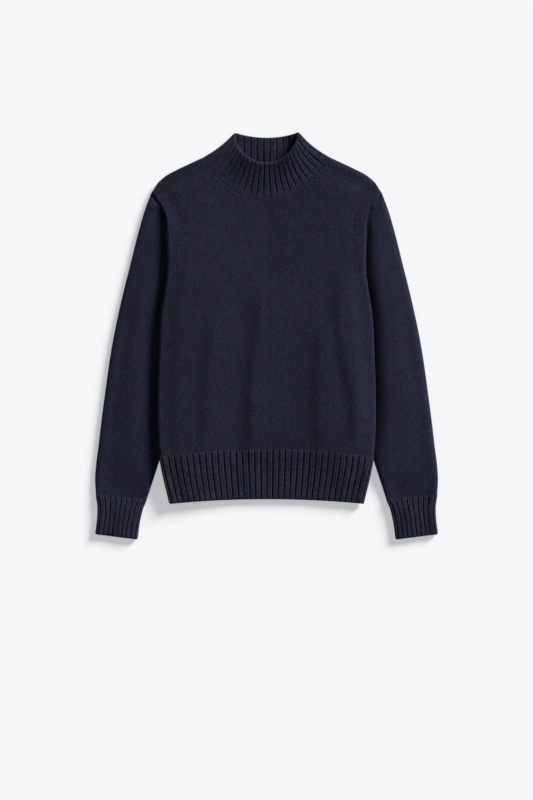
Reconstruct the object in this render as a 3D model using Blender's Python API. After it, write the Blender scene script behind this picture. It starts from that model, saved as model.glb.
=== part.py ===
"""A chunky knit pullover with a ribbed funnel neck, laid flat on its back, its sleeves tucked under it.

Units are metres. The garment lies in the XY plane with its neck towards +Y and its front facing +Z.
The origin is on the surface it lies on, below the middle of its outline.
The pullover is symmetric about X = 0, apart from its soft folds, so the tables give its +X side.
"""

from collections import namedtuple

import bmesh
import bpy
import numpy as np

# Driving dimensions of the cloth
WALL = 0.0030            # one layer of the chunky knit
LAYER_GAP = 0.0010       # between two layers that lie on each other
SEAM = 0.0003            # between pieces that are sewn together
EDGE_RADIUS = 0.0048     # the roll of a folded edge, from mid-height to its top
EDGE_EASE = 0.025        # how far in from a folded edge the cloth stays thicker
HALF = WALL + LAYER_GAP / 2

# Driving dimensions of the pullover
TOP = 0.3547             # the corners of the neck rim
FRONT_NECK = 0.2380      # middle of the front neckline
BACK_NECK = 0.2870       # middle of the back neckline
SIDE_NECK = (0.1120, 0.3118)
SHOULDER_TIP = (0.2025, 0.2485)
UNDERARM = (0.0863, 0.0893)     # top of the sleeve's tucked edge, under the body
ARMHOLE_TURN = 0.1768    # below this height the sleeve passes under the body
TUCKED_CAP = ((0.1690, 0.1600), (0.1360, 0.1240), (0.1000, 0.0940))    # the sleeve's end under the body
HEM_SEAM = -0.1970       # top of the ribbed hem at the middle
HEM_SEAM_DROP = 0.0135   # how much lower that is at the sides
HEM_END = -0.2845        # bottom of the ribbed hem at the middle
HEM_END_DROP = 0.0080
HEM_HALF_WIDTH = 0.1860
CUFF_SEAM_OUT = (0.2975, -0.2750)
CUFF_SEAM_IN = (0.2088, -0.2853)
RIM_HALF_WIDTH = 0.0555
RIM_FRONT = 0.3015       # middle of the front rim
RIM_BACK = 0.3462        # middle of the back rim
RIM_LIFT = 0.0120        # how far the front rim arches up off the back one

# Ribs: how many show across each piece, and how far each stands out
HEM_RIBS = 34
CUFF_RIBS = 8
COLLAR_RIBS = 21
RIB_RISE = 0.0014

# How the body passes over the sleeves
LIFT = 2 * HALF + 2 * SEAM
LIFT_MARGIN = 0.009
SHOULDER_RAMP = 0.022
SIDE_RAMP = 0.045

# The front's ease over the back
FULLNESS = 0.0024
FULLNESS_EDGE = 0.030
FULLNESS_NECK = 0.040
HEM_PRESSED = 0.75       # share of that fullness which is gone at the hem's end
WRIST_ROUND = 0.7        # share of the outer fold's roundness that the inner fold has where it shows

Level = namedtuple("Level", "y half_width")
SIDE_LINE = (
    Level(y=-0.2925, half_width=0.1688),
    Level(y=-0.2120, half_width=0.1858),
    Level(y=-0.1730, half_width=0.1890),
    Level(y=-0.1120, half_width=0.1899),
    Level(y=-0.0245, half_width=0.1873),
    Level(y=0.0455, half_width=0.1829),
    Level(y=0.0805, half_width=0.1770),
    Level(y=0.1050, half_width=0.1740),
    Level(y=0.1768, half_width=0.1738),
    Level(y=0.2000, half_width=0.1744),
    Level(y=0.2200, half_width=0.1800),
    Level(y=0.2380, half_width=0.1915),
    Level(y=SHOULDER_TIP[1], half_width=SHOULDER_TIP[0]),
)

Point = namedtuple("Point", "x y")
SHOULDER_LINE = (
    Point(*SIDE_NECK),
    Point(x=0.1348, y=0.3012),
    Point(x=0.1575, y=0.2905),
    Point(x=0.1800, y=0.2765),
    Point(x=0.1925, y=0.2630),
    Point(*SHOULDER_TIP),
)
COLLAR_SIDE = (
    Point(*SIDE_NECK),
    Point(x=0.0936, y=0.3222),
    Point(x=0.0788, y=0.3325),
    Point(x=0.0665, y=0.3432),
    Point(x=RIM_HALF_WIDTH, y=TOP),
)
SLEEVE_OUTER = (
    Point(x=CUFF_SEAM_OUT[0], y=CUFF_SEAM_OUT[1]),
    Point(x=0.2988, y=-0.2550),
    Point(x=0.2923, y=-0.1855),
    Point(x=0.2818, y=-0.1015),
    Point(x=0.2695, y=-0.0175),
    Point(x=0.2520, y=0.0665),
    Point(x=0.2380, y=0.1225),
    Point(x=0.2240, y=0.1785),
    Point(x=0.2118, y=0.2205),
    Point(x=SHOULDER_TIP[0] + 2 * SEAM, y=SHOULDER_TIP[1] - 2 * SEAM),
)

CuffLevel = namedtuple("CuffLevel", "outer_x outer_y inner_x inner_y")
CUFF_LINE = (
    CuffLevel(outer_x=0.2982, outer_y=-0.3455, inner_x=0.2255, inner_y=-TOP),
    CuffLevel(outer_x=0.2945, outer_y=-0.3150, inner_x=0.2206, inner_y=-0.3210),
    CuffLevel(outer_x=0.2942, outer_y=-0.2975, inner_x=0.2160, inner_y=-0.3020),
    CuffLevel(*CUFF_SEAM_OUT, *CUFF_SEAM_IN),
)

# The largest soft folds of the front, which run down it. Each is a trough along its points.
Fold = namedtuple("Fold", "depth width points")
FOLDS = (
    Fold(0.0024, 0.014, ((-0.016, 0.095), (-0.011, 0.050), (-0.034, -0.080), (-0.036, -0.185))),
    Fold(0.0012, 0.013, ((-0.086, 0.070), (-0.090, -0.015), (-0.112, -0.165))),
    Fold(0.0018, 0.012, ((0.079, -0.015), (0.085, -0.110), (0.094, -0.175))),
    Fold(0.0018, 0.013, ((0.116, 0.080), (0.132, -0.035), (0.147, -0.150))),
)

# Colours as sRGB hex values, and how the knit takes light
Knit = namedtuple("Knit", "colour roughness")
BODY_KNIT = Knit(colour="222433", roughness=0.95)
SLEEVE_KNIT = Knit(colour="1f2130", roughness=0.95)
RIB_KNIT = Knit(colour="20212e", roughness=0.95)
COLLAR_KNIT = Knit(colour="1f202e", roughness=0.95)

# How finely each piece is divided
BODY_COLUMNS = 22
HEM_ROWS = 4
HEM_BACK_COLUMNS = 18
COLLAR_ROWS = 6
COLLAR_BACK_COLUMNS = 14
SLEEVE_COLUMNS = 8
SLEEVE_UNDER_COLUMNS = 5
SLEEVE_ROWS = 13
CUFF_ROWS = 4
CUFF_UNDER_COLUMNS = 7

Zone = namedtuple("Zone", "rows up_to")       # up_to is a share of the panel's height
BODY_ROWS = (
    Zone(rows=8, up_to=0.50),
    Zone(rows=8, up_to=0.80),
    Zone(rows=8, up_to=1.00),
)
ROLL_STEPS = (0.0, 0.134, 0.5)       # inward steps over a rolled edge, as shares of its radius
RIB_STEPS = (0.0, 0.3, 0.7)          # groove, then the two sides of the rib's top, as shares of one rib


def smooth_line(xs, ys, at):
    """The smooth line through the points (xs, ys), read at the places 'at'."""
    xs = np.asarray(xs, float)
    ys = np.asarray(ys, float)
    at = np.clip(np.asarray(at, float), xs[0], xs[-1])
    slopes = np.gradient(ys, xs)
    cell = np.clip(np.searchsorted(xs, at) - 1, 0, len(xs) - 2)
    width = xs[cell + 1] - xs[cell]
    share = (at - xs[cell]) / width
    rest = 1 - share
    start = ys[cell] * (1 + 2 * share) * rest**2 + slopes[cell] * width * share * rest**2
    end = ys[cell + 1] * (3 - 2 * share) * share**2 - slopes[cell + 1] * width * rest * share**2
    return start + end


def lengths(points):
    """How far along a line of straight pieces each of its points lies."""
    steps = np.linalg.norm(np.diff(points, axis=0), axis=1)
    return np.concatenate([[0.0], np.cumsum(steps)])


def smooth_path(points, shares):
    """Places along a smooth path through the points, at shares of its length."""
    points = np.asarray(points, float)
    length = lengths(points)
    at = np.asarray(shares) * length[-1]
    return np.stack([smooth_line(length, points[:, axis], at) for axis in (0, 1)], axis=-1)


def along(points, shares):
    """Places along a line of straight pieces, at shares of its length."""
    points = np.asarray(points, float)
    length = lengths(points)
    at = np.asarray(shares) * length[-1]
    return np.stack([np.interp(at, length, points[:, axis]) for axis in (0, 1)], axis=-1)


def ease(share):
    """From 0 to 1 with a soft start and end."""
    share = np.clip(share, 0.0, 1.0)
    return share * share * (3 - 2 * share)


def distance(plan, line):
    """How far each plan point lies from a line of straight pieces."""
    line = np.asarray(line, float)
    nearest = np.full(plan.shape[:-1], np.inf)
    for start, end in zip(line[:-1], line[1:]):
        run = end - start
        share = np.clip(((plan - start) @ run) / (run @ run), 0.0, 1.0)
        nearest = np.minimum(nearest, np.linalg.norm(plan - start - share[..., None] * run, axis=-1))
    return nearest


def half_width(y):
    """Half the width of the body at a height."""
    return smooth_line([row.y for row in SIDE_LINE], [row.half_width for row in SIDE_LINE], y)


def shoulder_height(x):
    """Height of the shoulder's edge, between the neck and the shoulder tip."""
    return smooth_line([row.x for row in SHOULDER_LINE], [row.y for row in SHOULDER_LINE], np.abs(x))


def neck_height(x, middle):
    """Height of a neckline, a bow from side neck to side neck with its lowest point at the middle."""
    share = np.clip(np.abs(x) / SIDE_NECK[0], 0.0, 1.0)
    return SIDE_NECK[1] - (SIDE_NECK[1] - middle) * (1 - share**2)


def hem_seam(x):
    """Height of the seam between the plain knit and the ribbed hem, lower at the sides."""
    return HEM_SEAM - HEM_SEAM_DROP * (np.asarray(x) / HEM_HALF_WIDTH) ** 2


def hem_end(x):
    """Height of the hem's lower edge, lower at the sides."""
    return HEM_END - HEM_END_DROP * (np.asarray(x) / SIDE_LINE[0].half_width) ** 2


def mirrored(points):
    return [(-x, y) for x, y in points]


def body_outline():
    """The folded edge of the body and the neck, from the hem's corner to the rim's, on the +X side."""
    heights = np.linspace(SIDE_LINE[0].y, SIDE_LINE[-1].y, 60)
    side = list(zip(half_width(heights), heights))
    shoulder_x = np.linspace(SHOULDER_TIP[0], SIDE_NECK[0], 20)
    shoulder = list(zip(shoulder_x, shoulder_height(shoulder_x)))
    neck = [tuple(p) for p in smooth_path(COLLAR_SIDE, np.linspace(0, 1, 14))]
    return side + shoulder[1:] + neck[1:]


OUTLINE = body_outline()
FRONT_NECKLINE = [(x, neck_height(x, FRONT_NECK)) for x in np.linspace(-SIDE_NECK[0], SIDE_NECK[0], 25)]


def edge_distance(plan):
    return np.minimum(distance(plan, OUTLINE), distance(plan, mirrored(OUTLINE)))


def lift(plan):
    """How far the body is raised where a sleeve passes under it."""
    x = np.abs(plan[..., 0])
    y = plan[..., 1]
    turn = np.array([half_width(ARMHOLE_TURN), ARMHOLE_TURN])
    underarm = np.array(UNDERARM)
    cap = underarm - turn
    cap_normal = np.array([cap[1], -cap[0]]) / np.linalg.norm(cap)
    side = np.array(CUFF_SEAM_IN) - underarm
    side_normal = np.array([side[1], -side[0]]) / np.linalg.norm(side)
    above = (x - turn[0]) * cap_normal[0] + (y - turn[1]) * cap_normal[1]
    inside = (x - underarm[0]) * side_normal[0] + (y - underarm[1]) * side_normal[1]
    above = np.clip(above - LIFT_MARGIN, 0.0, None) / SHOULDER_RAMP
    inside = np.clip(inside - LIFT_MARGIN, 0.0, None) / SIDE_RAMP
    return LIFT * ease(1 - np.hypot(above, inside))


def half_thickness(edge):
    """Half the height of two layers, thicker towards a folded edge."""
    return HALF + (EDGE_RADIUS - HALF) * ease(1 - edge / EDGE_EASE)


def roll(edge):
    """How far the cloth has turned over a folded edge, from 0 at the edge to 1 on the flat."""
    return np.sqrt(1 - (1 - np.clip(edge / EDGE_RADIUS, 0.0, 1.0)) ** 2)


def ease_of_front(plan, edge):
    """The front's loose height over the back: fuller in the middle, with soft folds running down it."""
    from_neck = distance(plan, FRONT_NECKLINE)
    down_hem = np.clip((hem_seam(plan[..., 0]) - plan[..., 1]) / (HEM_SEAM - HEM_END), 0.0, 1.0)
    pressed = 1 - HEM_PRESSED * ease(down_hem)
    full = FULLNESS * ease(edge / FULLNESS_EDGE) * ease(from_neck / FULLNESS_NECK) * pressed
    for fold in FOLDS:
        away = distance(plan, along(fold.points, np.linspace(0, 1, 12)))
        full = full - fold.depth * np.exp(-((away / fold.width) ** 2))
    return np.clip(full, 0.0, None)


def seam_height(plan):
    """The height of the seam between front and back, midway through the folded edge."""
    return lift(plan) + half_thickness(edge_distance(plan))


def front_face(plan):
    """The outer face of the front cloth over its plan points."""
    edge = edge_distance(plan)
    half = half_thickness(edge)
    z = lift(plan) + half + SEAM / 2 + (half - SEAM / 2) * roll(edge) + ease_of_front(plan, edge)
    return np.concatenate([plan, z[..., None]], axis=-1)


def back_face(plan):
    """The outer face of the back cloth, its underside as it lies."""
    edge = edge_distance(plan)
    half = half_thickness(edge)
    z = lift(plan) + half - SEAM / 2 - (half - SEAM / 2) * roll(edge)
    return np.concatenate([plan, z[..., None]], axis=-1)


def spread(length, inner):
    """Places across a width: close together over the rolled edges, then at shares of the rest."""
    start = [EDGE_RADIUS * step for step in ROLL_STEPS]
    flat = length - 2 * EDGE_RADIUS
    middle = [EDGE_RADIUS + flat * share for share in inner]
    return np.array(start + middle + [length - place for place in reversed(start)])


def evenly(count):
    return np.linspace(0.0, 1.0, count + 1)


def rib_places(ribs):
    """Shares across a ribbed width at each groove and at both sides of each rib's top."""
    places = [(rib + step) / ribs for rib in range(ribs) for step in RIB_STEPS]
    return np.array(places + [1.0])


def rib_heights(ribs):
    """How far the outer points stand out at rib_places, and on the rolled edges beside them."""
    one = [0.0 if step == 0 else RIB_RISE for step in RIB_STEPS]
    plain = [0.0] * len(ROLL_STEPS)
    return np.array(plain + one * ribs + [0.0] + plain)


def panel_rows():
    """Shares of a panel's height, closer together beside the armholes."""
    shares = [0.0]
    for zone in BODY_ROWS:
        start = shares[-1]
        shares.extend(start + (zone.up_to - start) * evenly(zone.rows)[1:])
    return np.array(shares)


def panel_plan(bottom, top, inner, shares, rolled_top):
    """Plan points of a body panel between its bottom and top lines, a row for each share of its height."""
    def x_at(y):
        width = 2 * half_width(y)
        return np.array([spread(w, inner)[c] - w / 2 for c, w in enumerate(width)])

    columns = len(inner) + 2 * len(ROLL_STEPS)
    low = np.full(columns, HEM_END)
    high = np.full(columns, FRONT_NECK)
    for _ in range(6):
        low = bottom(x_at(low))
        high = top(x_at(high))
    heights = low + (high - low) * shares[:, None]
    if rolled_top:
        last = high - EDGE_RADIUS
        heights = low + (last - low) * shares[:, None]
        over = [high - EDGE_RADIUS * step for step in reversed(ROLL_STEPS)]
        heights = np.concatenate([heights, np.array(over)])
    return np.stack([np.array([x_at(row) for row in heights]), heights], axis=-1)


def body_top(neck_middle):
    """The line that ends a body panel: shoulder, neckline, shoulder."""
    def line(x):
        at_neck = neck_height(x, neck_middle) - SEAM / 2
        return np.where(np.abs(x) < SIDE_NECK[0], at_neck, shoulder_height(x))
    return line


def knit_material(name, knit):
    """A plain material in the knit's colour."""
    material = bpy.data.materials.new(name)
    material.use_nodes = True
    shader = material.node_tree.nodes["Principled BSDF"]
    srgb = [int(knit.colour[i:i + 2], 16) / 255 for i in (0, 2, 4)]
    linear = [c / 12.92 if c <= 0.04045 else ((c + 0.055) / 1.055) ** 2.4 for c in srgb]
    shader.inputs["Base Color"].default_value = (*linear, 1.0)
    shader.inputs["Roughness"].default_value = knit.roughness
    shader.inputs["Metallic"].default_value = 0.0
    return material


def outward(face, closed):
    """The direction that each point of the cloth's outer face looks in."""
    up = np.gradient(face, axis=0)
    if closed:
        across = np.roll(face, -1, axis=1) - np.roll(face, 1, axis=1)
    else:
        across = np.gradient(face, axis=1)
    normal = np.cross(across, up)
    return normal / np.linalg.norm(normal, axis=-1, keepdims=True)


def square_off(normal, row, seam):
    """Turns the directions of one row of points, so that the wall ends upright along its seam there."""
    off_seam = np.column_stack([seam[:, 1], -seam[:, 0], np.zeros(len(seam))])
    off_seam /= np.linalg.norm(off_seam, axis=-1, keepdims=True)
    flat = normal[row] - (normal[row] * off_seam).sum(axis=-1, keepdims=True) * off_seam
    normal[row] = flat / np.linalg.norm(flat, axis=-1, keepdims=True)


def add_cloth(name, face, knit, collection, closed=False, ribs=None, layer=0, seams=()):
    """Makes a piece of cloth with a wall: its outer face, a plain inner one, and the edges between them.

    The columns of 'face' run across and its rows up, as seen from its outer side.
    'ribs' raises the outer points of each column. A layer of 1 stays above the body's side seam, -1 below it.
    'seams' has each row that ends against another piece, with the way that its seam runs at each column.
    """
    normal = outward(face, closed)
    for row, seam in seams:
        square_off(normal, row, seam)
    inner = face - WALL * normal
    if layer:
        seam = seam_height(inner[..., :2]) + layer * SEAM / 2
        inner[..., 2] = layer * np.maximum(layer * inner[..., 2], layer * seam)
    outer = face if ribs is None else face + np.asarray(ribs)[..., None] * normal

    mesh = bmesh.new()
    out = [[mesh.verts.new(point) for point in row] for row in outer]
    back = [[mesh.verts.new(point) for point in row] for row in inner]
    rows, columns = face.shape[:2]
    cells = range(columns if closed else columns - 1)
    for r in range(rows - 1):
        for c in cells:
            n = (c + 1) % columns
            mesh.faces.new((out[r][c], out[r][n], out[r + 1][n], out[r + 1][c]))
            mesh.faces.new((back[r][c], back[r + 1][c], back[r + 1][n], back[r][n]))
    for c in cells:
        n = (c + 1) % columns
        mesh.faces.new((out[0][n], out[0][c], back[0][c], back[0][n]))
        mesh.faces.new((out[-1][c], out[-1][n], back[-1][n], back[-1][c]))
    if not closed:
        for r in range(rows - 1):
            mesh.faces.new((out[r][0], out[r + 1][0], back[r + 1][0], back[r][0]))
            mesh.faces.new((out[r + 1][-1], out[r][-1], back[r][-1], back[r + 1][-1]))

    data = bpy.data.meshes.new(name)
    mesh.to_mesh(data)
    mesh.free()
    data.materials.append(knit_material(name + "_knit", knit))
    data.shade_smooth()
    data.set_sharp_from_angle(angle=np.radians(50))
    piece = bpy.data.objects.new(name, data)
    collection.objects.link(piece)
    return piece


def make_body(collection):
    """The front and back panels, and the ribbed hem below each."""
    def panel_bottom(x):
        return hem_seam(x) + SEAM / 2

    def hem_top(x):
        return hem_seam(x) - SEAM / 2

    columns = evenly(BODY_COLUMNS)
    plan = panel_plan(panel_bottom, body_top(FRONT_NECK), columns, panel_rows(), rolled_top=True)
    add_cloth("front", front_face(plan), BODY_KNIT, collection, layer=1)

    plan = panel_plan(panel_bottom, body_top(BACK_NECK), columns, panel_rows(), rolled_top=True)
    add_cloth("back", back_face(plan[:, ::-1]), BODY_KNIT, collection, layer=-1)

    plan = panel_plan(hem_end, hem_top, rib_places(HEM_RIBS), evenly(HEM_ROWS), rolled_top=False)
    add_cloth("hem_front", front_face(plan), RIB_KNIT, collection, ribs=rib_heights(HEM_RIBS), layer=1)

    plan = panel_plan(hem_end, hem_top, evenly(HEM_BACK_COLUMNS), evenly(HEM_ROWS), rolled_top=False)
    add_cloth("hem_back", back_face(plan[:, ::-1]), RIB_KNIT, collection, layer=-1)


def collar_row(level, front, inner):
    """Plan points of one row round the collar, on its front or its back, from -X to +X."""
    half, side_height = smooth_path(COLLAR_SIDE, [level])[0]
    if front:
        middle = FRONT_NECK + (RIM_FRONT - FRONT_NECK) * level
    else:
        middle = BACK_NECK + (RIM_BACK - BACK_NECK) * level
    turn = np.linspace(-np.pi / 2, np.pi / 2, 181)
    bow = 2 - level if front else 2
    x = half * np.sin(turn)
    y = side_height - (side_height - middle) * np.abs(np.cos(turn)) ** bow
    row = np.stack([x, y], axis=-1)
    length = lengths(row)[-1]
    return along(row, spread(length, inner) / length)


def make_collar(collection):
    """The ribbed funnel neck: a flattened tube whose front rim arches up off the back one."""
    front_inner = rib_places(COLLAR_RIBS)
    back_inner = evenly(COLLAR_BACK_COLUMNS)
    first = 1.5 * SEAM / (RIM_FRONT - FRONT_NECK)
    levels = first + (1 - first) * evenly(COLLAR_ROWS)
    rows = []
    for level in levels:
        front = collar_row(level, True, front_inner)
        back = collar_row(level, False, back_inner)
        front_edge = edge_distance(front)
        back_edge = edge_distance(back)
        front_half = half_thickness(front_edge)
        back_half = half_thickness(back_edge)
        across = front[:, 0] / front[-1, 0]
        arch = RIM_LIFT * level**1.5 * (1 - across**2)
        front_z = front_half * (1 + roll(front_edge)) + arch
        back_z = back_half * (1 - roll(back_edge))
        rows.append(round_tube(np.column_stack([front, front_z]), np.column_stack([back, back_z])))
    face = np.array(rows)
    plain = [0.0] * (face.shape[1] - len(rib_heights(COLLAR_RIBS)))
    ribs = list(rib_heights(COLLAR_RIBS)) + plain
    add_cloth("collar", face, COLLAR_KNIT, collection, closed=True, ribs=ribs)


def tube_face(outer_line, inner_line, across_top, across_under, thickness, bend=None):
    """The outer face of a flattened tube between its outer and inner edge, rows from the hand up."""
    rows = []
    for r, (start, end) in enumerate(zip(outer_line, inner_line)):
        length = np.linalg.norm(end - start)
        ring = []
        for inner, side in ((across_top, 1), (across_under, -1)):
            shares = spread(length, inner) / length
            plan = start + (end - start) * shares[:, None]
            if bend is not None:
                plan = plan + bend(r, shares)
            from_outer = distance(plan, outer_line)
            from_inner = distance(plan, inner_line)
            edge = np.minimum(from_outer, from_inner)
            half = thickness(r, from_outer, from_inner)
            ring.append(np.column_stack([plan, half * (1 + side * roll(edge))]))
        rows.append(round_tube(*ring))
    return np.array(rows)


def sleeve_thickness(row, from_outer, from_inner):
    """Half the sleeve's height: full along its outer fold, and along its inner one where that shows."""
    at_wrist = ease(1 - row / 2.0)
    inner = WRIST_ROUND * at_wrist * ease(1 - from_inner / EDGE_EASE)
    return HALF + (EDGE_RADIUS - HALF) * np.maximum(ease(1 - from_outer / EDGE_EASE), inner)


def cuff_thickness(row, from_outer, from_inner):
    return HALF + (EDGE_RADIUS - HALF) * np.maximum(
        ease(1 - from_outer / EDGE_EASE), WRIST_ROUND * ease(1 - from_inner / EDGE_EASE)
    )


def cap_line():
    """The sleeve's top edge: down the armhole beside the body, then under the body to the underarm."""
    heights = np.linspace(SHOULDER_TIP[1], ARMHOLE_TURN, 16)
    beside = [(half_width(y) + 2 * SEAM, y - 2 * SEAM) for y in heights]
    return beside + list(TUCKED_CAP) + [UNDERARM]


def round_tube(top, under):
    """Joins what belongs to the columns of a tube's top and underside, in the order of its ring."""
    return np.concatenate([top, under[-2:0:-1]])


def wrist_seam(columns):
    """The way that the seam between sleeve and cuff runs, at each column."""
    return np.tile(np.array(CUFF_SEAM_OUT) - np.array(CUFF_SEAM_IN), (columns, 1))


def place(name, face, knit, collection, side, seams, ribs=None):
    """Adds a sleeve or cuff on one side of the body: side is 1 for +X and -1 for -X."""
    ribs = np.zeros(face.shape[1]) if ribs is None else np.asarray(ribs)
    face = face * np.array([side, 1.0, 1.0])
    seams = [(row, seam * np.array([side, 1.0])) for row, seam in seams]
    if side > 0:
        face = face[:, ::-1]
        ribs = ribs[::-1]
        seams = [(row, seam[::-1]) for row, seam in seams]
    add_cloth(name, face, knit, collection, closed=True, ribs=ribs, seams=seams)


def make_sleeve(side, name, collection):
    """A sleeve: a flattened tube from the wrist to the armhole, its inner edge tucked under the body."""
    levels = evenly(SLEEVE_ROWS)
    outer_line = smooth_path(SLEEVE_OUTER, levels)
    inner_line = along((CUFF_SEAM_IN, UNDERARM), levels)
    cap = cap_line()

    def bend(row, shares):
        chord = outer_line[-1] + (inner_line[-1] - outer_line[-1]) * shares[:, None]
        fade = ease((row - (SLEEVE_ROWS - 4)) / 4)
        return (along(cap, shares) - chord) * fade

    face = tube_face(
        outer_line, inner_line, evenly(SLEEVE_COLUMNS), evenly(SLEEVE_UNDER_COLUMNS), sleeve_thickness, bend
    )
    cap_length = lengths(cap)[-1]
    nudge = 0.01

    def cap_seam(count):
        shares = spread(cap_length, evenly(count)) / cap_length
        return along(cap, np.minimum(shares + nudge, 1)) - along(cap, np.maximum(shares - nudge, 0))

    armhole = round_tube(cap_seam(SLEEVE_COLUMNS), cap_seam(SLEEVE_UNDER_COLUMNS))
    place(name, face, SLEEVE_KNIT, collection, side, [(0, wrist_seam(face.shape[1])), (-1, armhole)])


def make_cuff(side, name, collection):
    """A ribbed cuff: a flattened tube that goes on from the sleeve's wrist."""
    length = [-row.outer_y for row in CUFF_LINE]
    levels = np.linspace(length[0], length[-1], CUFF_ROWS + 1)[::-1]

    def column(name_of_column):
        values = [getattr(row, name_of_column) for row in CUFF_LINE]
        return smooth_line(length[::-1], values[::-1], levels)[::-1]

    outer_line = np.column_stack([column("outer_x"), column("outer_y")])
    inner_line = np.column_stack([column("inner_x"), column("inner_y")])
    outer_line[-1, 1] -= SEAM
    inner_line[-1, 1] -= SEAM
    top = rib_places(CUFF_RIBS)
    face = tube_face(outer_line, inner_line, top, evenly(CUFF_UNDER_COLUMNS), cuff_thickness)
    plain = [0.0] * (face.shape[1] - len(rib_heights(CUFF_RIBS)))
    seams = [(-1, wrist_seam(face.shape[1]))]
    place(name, face, RIB_KNIT, collection, side, seams, ribs=list(rib_heights(CUFF_RIBS)) + plain)


for thing in list(bpy.data.objects):
    bpy.data.objects.remove(thing)
pullover = bpy.data.collections.new("knit_pullover")
bpy.context.scene.collection.children.link(pullover)

make_body(pullover)
make_collar(pullover)
for side, word in ((-1, "left"), (1, "right")):
    make_sleeve(side, "sleeve_" + word, pullover)
    make_cuff(side, "cuff_" + word, pullover)
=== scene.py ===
"""A chunky knit pullover with a ribbed funnel neck, laid flat on its back.

Units are metres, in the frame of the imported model: the neck points towards +Y and the front faces +Z.
Each section makes one piece of cloth, or one kind of edge or stitch, in the order in which they are joined.
The pullover is symmetric about X = 0, apart from its soft folds, so the tables give its +X side.
"""

import math
from collections import namedtuple

import bpy
import numpy as np
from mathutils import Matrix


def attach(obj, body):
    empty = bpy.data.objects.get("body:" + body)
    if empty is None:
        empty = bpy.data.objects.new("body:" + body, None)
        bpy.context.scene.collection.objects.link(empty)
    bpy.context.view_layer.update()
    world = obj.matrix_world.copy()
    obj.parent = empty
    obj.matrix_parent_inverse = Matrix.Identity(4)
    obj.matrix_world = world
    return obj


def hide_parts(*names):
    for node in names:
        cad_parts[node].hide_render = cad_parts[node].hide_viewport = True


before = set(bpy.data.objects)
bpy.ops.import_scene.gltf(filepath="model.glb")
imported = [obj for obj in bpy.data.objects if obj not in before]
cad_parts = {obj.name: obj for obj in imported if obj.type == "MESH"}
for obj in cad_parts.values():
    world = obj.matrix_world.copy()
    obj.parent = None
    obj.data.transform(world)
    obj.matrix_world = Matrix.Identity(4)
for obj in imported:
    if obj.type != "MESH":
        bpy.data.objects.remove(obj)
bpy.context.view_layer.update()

# ---- Front ---------------------------------------------------------------------------------------
# One panel of chunky navy stockinette, knitted to shape at its sides, armholes, shoulders and neck.
# It lies loosely over the back with soft folds running down it, and rides up over the sleeves at its sides.

WALL = 0.0030            # one layer of the knit
LAYER_GAP = 0.0010       # between two layers that lie on each other
HALF = WALL + LAYER_GAP / 2
EDGE_RADIUS = 0.0048     # the roll of a folded edge, from mid-height to its top
EDGE_EASE = 0.025        # how far in from a folded edge the cloth stays thicker
WALE = 0.0031            # width of one stitch
COURSE = 0.0023          # height of one row of stitches

SIDE_NECK = (0.1114, 0.3107)
SHOULDER_TIP = (0.2010, 0.2490)
FRONT_NECK = 0.2380      # middle of the front neckline
ARMHOLE_TURN = 0.1768    # below this height the sleeve passes under the body
CREASE_TOP = 0.2060      # below this height the armhole's seam lies in a deep crease
CREASE_FADE = 0.022      # how far above that the body and the sleeve are level
UNDERARM = (0.0863, 0.0893)     # top of the sleeve's tucked edge, under the body
CUFF_SEAM_IN = (0.2088, -0.2853)    # and its foot
HEM_SEAM = -0.1970       # where the ribs begin, at the middle
HEM_SEAM_DROP = 0.0135   # how much lower that is at the sides
HEM_HALF_WIDTH = 0.1860
HEM_END = -0.2845

LIFT = 0.0076            # how far a sleeve raises the body
LIFT_MARGIN = 0.009      # how far past the sleeve's tucked edge the body stays at that height
SHOULDER_RAMP = 0.022    # how far it then takes to come down, inside the sleeve's cap
SIDE_RAMP = 0.045        # and beside its tucked edge
SOFT_RAMP = 0.030        # and the slower fall of the cloth beyond both
FRONT_RAMP = 0.130       # which is slower still on the loose front
HEM_RAMP = 0.055         # but less so at the hem's end
RAMP_CHANGE = 0.150      # how far above the hem's end the front is as slow as that
LOOSE_EDGE = 0.050       # and how far in from its folded edge
TIP_EASE = 0.050         # how far round the shoulder tip there is no slow fall
TIP_POINT = 0.004        # how far round the tip nothing is sewn
TIP_FADE = 0.010         # and how far from there to where the seam is whole

RIGHT_ROLL = 0.0105      # how far in from its right edge the upper cloth turns down
LEFT_ROLL = 0.8 * EDGE_RADIUS
SEWN_ROLL = 0.28         # how much of that is left where a sleeve is sewn on
SEWN_WIDTH = 1.2 * RIGHT_ROLL
FULLNESS = 0.0055        # how high the front's loose middle stands off the back
FULLNESS_EDGE = 0.040    # how far in from its folded edge it is as full as that
FULLNESS_NECK = 0.240    # and how far from the neck
HEM_PRESSED = 0.75       # share of the fullness that is gone at the hem's end
SOFT_STOP = 0.0004       # how softly a trough ends on the cloth below
LEFT_PLUMP = 0.0046      # how much fuller the front is along its left edge
PLUMP_EDGE = 0.0035      # how far in it takes to be so
PLUMP_REACH = 0.160      # how far in that reaches, and how far below the shoulder it is full
PLUMP_MIDDLE = 0.090     # how far left of the middle it is full
EVEN_EDGE = 0.012        # how far in from a folded edge the knitting takes to be uneven

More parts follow.
